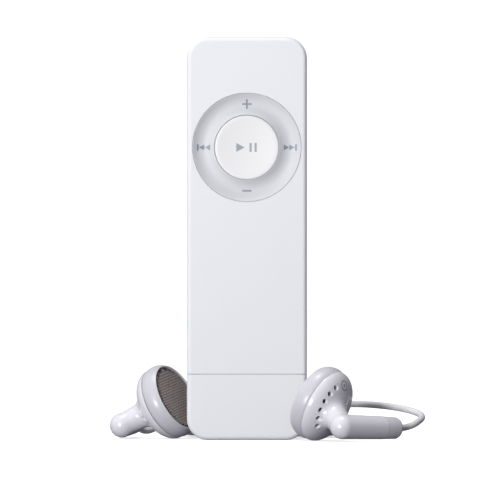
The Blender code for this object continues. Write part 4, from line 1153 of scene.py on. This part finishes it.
def felt_disc():
    """The damping cloth just behind the mesh."""
    edge = BUMPER_BORE_R - 0.06 * MM
    front = [(edge * i / 12, mesh_height(edge * i / 12) + 0.12 * MM) for i in range(13)]
    back = -2.95 * MM
    profile = front + [(edge, back), (0.0, back)]
    return lathe("felt_disc", profile, 96)


def stem_collar():
    """The sleeve that ends the stem, with its round shoulder and the hole for the cord."""
    base = 0.1 * MM
    hole_r = BRANCH_R + 0.12 * MM
    top = base + COLLAR_LENGTH
    hole_floor = top - 1.2 * MM
    end_r = STEM_END_R - 0.12 * MM
    profile = [(0.0, hole_floor), (hole_r, hole_floor), (hole_r, top), (hole_r + 0.5 * MM, top)]
    profile += [(end_r - 0.28 * MM, top - 0.12 * MM), (end_r, top - 0.62 * MM)]
    profile += [(STEM_END_R, base), (0.0, base)]
    return lathe("collar", profile, 64, edge=0.12 * MM)


def badge():
    """A plain ring with a dot in it, which takes the place of the earbud's printed mark."""
    middle, normal = dome_spot(BADGE_RADIUS, BADGE_ANGLE)
    spot = at(*middle) @ normal.to_track_quat("Z", "Y").to_matrix().to_4x4()
    rings = []
    for inner, outer in ((0.86, 1.16), (0.0, 0.32)):
        profile = [(inner, -0.05), (outer, -0.05), (outer, 0.05), (inner, 0.05)]
        profile = [(r * MM, h * MM) for r, h in profile]
        rings.append(lathe("badge", profile, 64, closed=inner > 0))
    made = rings[0]
    boolean(made, "UNION", rings[1])
    shape = bmesh.new()
    shape.from_mesh(made.data)
    shape.transform(spot)
    points = np.array([v.co for v in shape.verts])
    raised = np.array([(spot.inverted() @ v.co).z > 0 for v in shape.verts])
    surface, slopes = settled(points)
    lift = np.where(raised, MARK_PROUD, -4 * MARK_PROUD)
    for vert, point in zip(shape.verts, surface + slopes * lift[:, None]):
        vert.co = point
    shape.to_mesh(made.data)
    shape.free()
    return made


def earbuds():
    """Each earbud's pieces, made once and set in both places."""
    shell = moulded("bud_gloss", (0.77, 0.76, 0.81), 0.24, coat=0.25)
    soft = rubbery("bumper_rubber", (0.62, 0.61, 0.66), 0.32)
    wire = rubbery("mesh_wire", (0.45, 0.39, 0.375), 0.42)
    cloth = felt("mesh_cloth", (0.05, 0.038, 0.036))
    print_grey = ink("badge_ink", (0.33, 0.33, 0.37))
    collar_plastic = moulded("collar_satin", (0.64, 0.63, 0.68), 0.34)
    pieces = (
        ("bud_shell", bud_back(), shell, "bud_white", "bud_back"),
        ("bud_bumper_ring", bumper(), soft, "bumper_white", "bud_bumper"),
        ("bud_mesh", mesh_dome(), wire, "grille_mesh", "bud_grille"),
        ("bud_cloth", felt_disc(), cloth, "grille_mesh", None),
        ("bud_badge", badge(), print_grey, "bud_white", None),
    )
    for side in BUD_PLACES:
        local = bud_frame(side)
        for name, source, material, slot, node in pieces:
            copy = bpy.data.objects.new(f"{side}_{name}", source.data.copy())
            bpy.context.scene.collection.objects.link(copy)
            show(place(copy, local), material, "earphones", slot, *([f"{side}_{node}"] if node else []))
        sleeve = place(stem_collar(), local @ stem_frame() @ at(0, 0, STEM_LENGTH))
        sleeve.name = f"{side}_collar"
        show(sleeve, collar_plastic, "earphones", "bumper_white", f"{side}_stem_collar")
    for _, source, *_ in pieces:
        bpy.data.objects.remove(source)


# USB plug and its collar


def tube_block(name, width, depth, radius, low, high, hole=None):
    """An upright rounded block, with a hole through it if the hole's size is given."""
    middle = (low + high) / 2
    made = place(slab(name, width, depth, radius, high - low, 0.12 * MM, steps=10), at(0, 0, middle))
    if hole:
        bore = slab("bore", *hole, 0.35 * MM, 4 * (high - low), 0.01 * MM, steps=8)
        boolean(made, "DIFFERENCE", place(bore, at(0, 0, middle)))
    return made


def usb_parts():
    """The plug's steel sleeve, the collar round it, and the grip inside the cap."""
    low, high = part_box("usb_plug_shell")
    width, depth = high.x - low.x, high.y - low.y
    wall = 0.3 * MM
    inside = (width - 2 * wall, depth - 2 * wall)
    sleeve = tube_block("plug_sleeve", width, depth, 0.5 * MM, low.z, high.z, inside)
    window_x, window_z = 2.7 * MM, 7.1 * MM
    windows = []
    for side in (-1, 1):
        window = slab("window", 2.5 * MM, 2.0 * MM, 0.15 * MM, 4 * depth, 0.01 * MM, steps=6)
        windows.append(place(window, at(side * window_x, 0, window_z) @ FRONT))
    boolean(sleeve, "DIFFERENCE", *windows)
    plug_steel = brushed("plug_steel", (0.62, 0.62, 0.63), 0.30, (1.0, 1.0, 0.12))
    show(soft_edges(sleeve, 0.05 * MM), plug_steel, "player", "steel", "usb_plug_shell")

    low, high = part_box("usb_collar")
    lip_z = 12.9 * MM
    plate_low = BODY_BASE + 0.12 * MM
    hole = (width + 2 * THIN_GAP, depth + 2 * THIN_GAP)
    collar = tube_block("plug_collar", high.x - low.x, high.y - low.y, 0.8 * MM, plate_low, high.z)
    lip_width, lip_depth = 21.6 * MM, 5.2 * MM
    lip = tube_block("lip", lip_width, lip_depth, 0.8 * MM, lip_z, plate_low + WALL)
    boolean(collar, "UNION", lip)
    bore = slab("bore", *hole, 0.5 * MM, 4 * WALL + plate_low, 0.01 * MM, steps=8)
    boolean(collar, "DIFFERENCE", place(bore, at(0, 0, plate_low)))
    collar_plastic = moulded("collar_plastic", (0.70, 0.70, 0.72), 0.38)
    show(soft_edges(collar, 0.1 * MM), collar_plastic, "player", "collar_white", "usb_collar")

    low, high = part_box("usb_cap_insert")
    hole = (width + GAP, depth + GAP)
    grip = tube_block("cap_grip", high.x - low.x, high.y - low.y, 0.9 * MM, low.z, high.z, hole)
    show(soft_edges(grip, 0.15 * MM), collar_plastic, "cap", "collar_white", "usb_cap_insert")


# Cord fittings and plug


def cord_fittings():
    """The splitter, the slider on the branches, and the tie round the coil."""
    soft = rubbery("fitting_rubber", (0.74, 0.74, 0.76), 0.34)
    low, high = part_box("cord_splitter")
    middle = (low + high) / 2
    size = high - low
    splitter = slab("y_splitter", size.y, size.z, FITTING_R, size.x, 0.5 * MM, steps=20, edge_steps=8)
    place(splitter, at(*middle) @ ALONG_X)
    mouth_place = at(high.x, middle.y, middle.z) @ ALONG_X
    mouths = [drilled("mouth", MAIN_R + THIN_GAP, -WALL, WALL, mouth_place)]
    for side in BUD_PLACES:
        mouth_place = at(low.x, route(PAIR_ROUTES[side])[-1].y, middle.z) @ ALONG_X
        mouths.append(drilled("mouth", BRANCH_R + 0.02 * MM, -WALL, WALL, mouth_place))
    boolean(splitter, "DIFFERENCE", *mouths)
    show(soft_edges(splitter), soft, "earphones", "bumper_white", "cord_splitter")

    low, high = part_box("cord_slider")
    size = high - low
    slider = slab("branch_slider", size.y, size.z, FITTING_R, size.x, 0.35 * MM, steps=20, edge_steps=8)
    slot = slab("slot", 3.5 * MM, 1.9 * MM, 0.9 * MM, 4 * size.x, 0.01 * MM, steps=12)
    boolean(slider, "DIFFERENCE", slot)
    place(slider, at(*((low + high) / 2)) @ ALONG_X)
    show(soft_edges(slider), soft, "slider", "bumper_white", "cord_slider")
    show(coil_tie(), soft, "earphones", "bumper_white", "cord_tie")
    return splitter


def coil_tie():
    """A flat band round the coil's turns, on the side away from the plug."""
    coil_width = 10.8 * MM
    coil_height = COIL_HIGH.z - COIL_LOW.z
    band, slack, tie_width = 0.3 * MM, 0.14 * MM, 2.2 * MM
    inner_width = coil_width + 2 * slack
    inner_height = coil_height + slack
    tie = slab("coil_tie", inner_width + 2 * band, inner_height + 2 * band, 0.9 * MM, tie_width, 0.1 * MM, 12)
    hole = slab("tie_hole", inner_width, inner_height, 0.6 * MM, 4 * MM, 0.01 * MM, 12)
    boolean(tie, "DIFFERENCE", hole)
    turn = Matrix.Rotation(math.radians(-130.0), 4, "Z")
    middle_r = 12.5 * MM
    place(tie, at(*COIL_CENTRE) @ turn @ at(middle_r, 0, 0) @ FRONT)
    return soft_edges(tie)


def stereo_plug():
    """The pin with its two black rings, the plug's body, and its ribbed relief."""
    tip = Vector((-15.0, 24.5, 7.62)) * MM
    tilt = math.radians(2.65)
    axis = at(*tip) @ Matrix.Rotation(math.radians(90) - tilt, 4, "Y")
    pin_r, groove_r, pin_length = 1.75 * MM, 1.6 * MM, 14.0 * MM
    grooves = (8.2 * MM, 5.2 * MM)
    profile = [(0.0, pin_length), (pin_r, pin_length)]
    for groove in grooves:
        profile += [(pin_r, groove + 0.3 * MM), (groove_r, groove + 0.28 * MM)]
        profile += [(groove_r, groove - 0.28 * MM), (pin_r, groove - 0.3 * MM)]
    profile += [(pin_r, 3.6 * MM), (1.2 * MM, 2.75 * MM), (1.15 * MM, 2.6 * MM), (1.25 * MM, 2.35 * MM)]
    profile += [(1.6 * MM, 1.6 * MM), (1.3 * MM, 0.9 * MM), (0.6 * MM, 0.12 * MM), (0.0, 0.0)]
    pin = place(lathe("plug_tip", profile, 64, edge=0.05 * MM), axis)
    plated = brushed("plug_gold", (0.83, 0.62, 0.30), 0.22, (6.0, 1.0, 1.0))
    show(pin, plated, "earphones", "gold", "plug_pin")
    rings = []
    for groove in grooves:
        low, high = groove - 0.26 * MM, groove + 0.26 * MM
        profile = [(groove_r + 0.02 * MM, low), (pin_r - 0.01 * MM, low), (pin_r - 0.01 * MM, high)]
        profile.append((groove_r + 0.02 * MM, high))
        rings.append(place(lathe(f"plug_ring_{len(rings)}", profile, 64, closed=True), axis))
        black = moulded(f"ring_black_{len(rings)}", (0.02, 0.02, 0.02), 0.4)
        show(rings[-1], black, "earphones", "gold")
    body_r, body_length = 2.7 * MM, 13.0 * MM
    profile = [(0.0, body_length), (2.0 * MM, body_length), (body_r - 0.15 * MM, body_length - 0.5 * MM)]
    profile += [(body_r, body_length - 1.2 * MM), (body_r, 1.6 * MM), (body_r - 0.12 * MM, 1.5 * MM)]
    profile += [(body_r - 0.12 * MM, 1.3 * MM), (body_r, 1.2 * MM), (body_r, 0.4 * MM)]
    profile += [(body_r - 0.4 * MM, 0.0), (0.0, 0.0)]
    body_place = axis @ at(0, 0, pin_length + THIN_GAP)
    body = place(lathe("plug_grip", profile, 96, edge=0.15 * MM), body_place)
    show(body, moulded("plug_plastic", (0.78, 0.78, 0.80), 0.30), "earphones", "bud_white", "plug_body")
    relief_length, ribs = 5.0 * MM, 4
    end_r, root_r = 1.3 * MM, 1.95 * MM
    profile = [(0.0, relief_length - WALL), (MAIN_R + 0.04 * MM, relief_length - WALL)]
    profile += [(MAIN_R + 0.04 * MM, relief_length), (end_r, relief_length)]
    for rib in range(ribs):
        top = relief_length - WALL * (rib + 0.55)
        radius = end_r + (root_r - end_r) * (rib + 1) / ribs
        profile += [(radius - 0.02 * MM, top + 0.3 * MM), (radius, top - 0.1 * MM)]
        profile += [(radius - 0.3 * MM, top - 0.18 * MM), (radius - 0.3 * MM, top - 0.42 * MM)]
    profile += [(root_r, 0.3 * MM), (root_r, 0.0), (0.0, 0.0)]
    relief_place = body_place @ at(0, 0, body_length + THIN_GAP)
    relief = place(lathe("plug_sleeve_end", profile, 64, edge=0.06 * MM), relief_place)
    relief_rubber = rubbery("relief_rubber", (0.74, 0.74, 0.76), 0.36)
    show(relief, relief_rubber, "earphones", "bumper_white", "plug_relief")
    return [pin, *rings, body, relief]


# Inner parts that are shown as packed


def inner_parts():
    """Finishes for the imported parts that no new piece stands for."""
    nodes = frame["nodes"]
    domes = [f"dome_switch_{spot}" for spot in ("centre", "up", "down", "left", "right")]
    contacts = [f"usb_contact_{number}" for number in range(1, 5)]
    diaphragms = [f"{side}_bud_diaphragm" for side in BUD_PLACES]
    drivers = [f"{side}_bud_driver" for side in BUD_PLACES]
    finishes = {
        brushed("inner_steel", (0.58, 0.58, 0.59), 0.34, (1.0, 1.0, 8.0)): (
            "rocker_plate", "jack_spring", "mode_switch_can", "battery_tact", *domes, *drivers,
        ),
        brushed("contact_gold", (0.85, 0.64, 0.31), 0.20, (1.0, 1.0, 0.2)): contacts,
        circuit("board_mask"): ("main_board", "keypad_board"),
        moulded("chip_epoxy", (0.025, 0.025, 0.03), 0.55): ("flash_chip", "audio_chip", "jack_housing"),
        moulded("tongue_plastic", (0.03, 0.03, 0.035), 0.42): ("usb_tongue",),
        moulded("frame_plastic", (0.30, 0.31, 0.33), 0.5): ("inner_frame",),
        crinkled("cell_foil", (0.62, 0.63, 0.65), 0.36): ("battery_cell",),
        rubbery("lead_sleeve", (0.55, 0.04, 0.03), 0.42): ("battery_lead",),
        ribbed("cone_film", (0.62, 0.50, 0.30), 0.30, 0.4 * MM): diaphragms,
    }
    for material, names in finishes.items():
        for name in names:
            nodes[name].data.materials.clear()
            nodes[name].data.materials.append(material)


camera()
stage()
sky()
lights()
casings()
pad()
back_controls()
usb_parts()
earbuds()
splitter = cord_fittings()
plug = stereo_plug()
cords()
inner_parts()
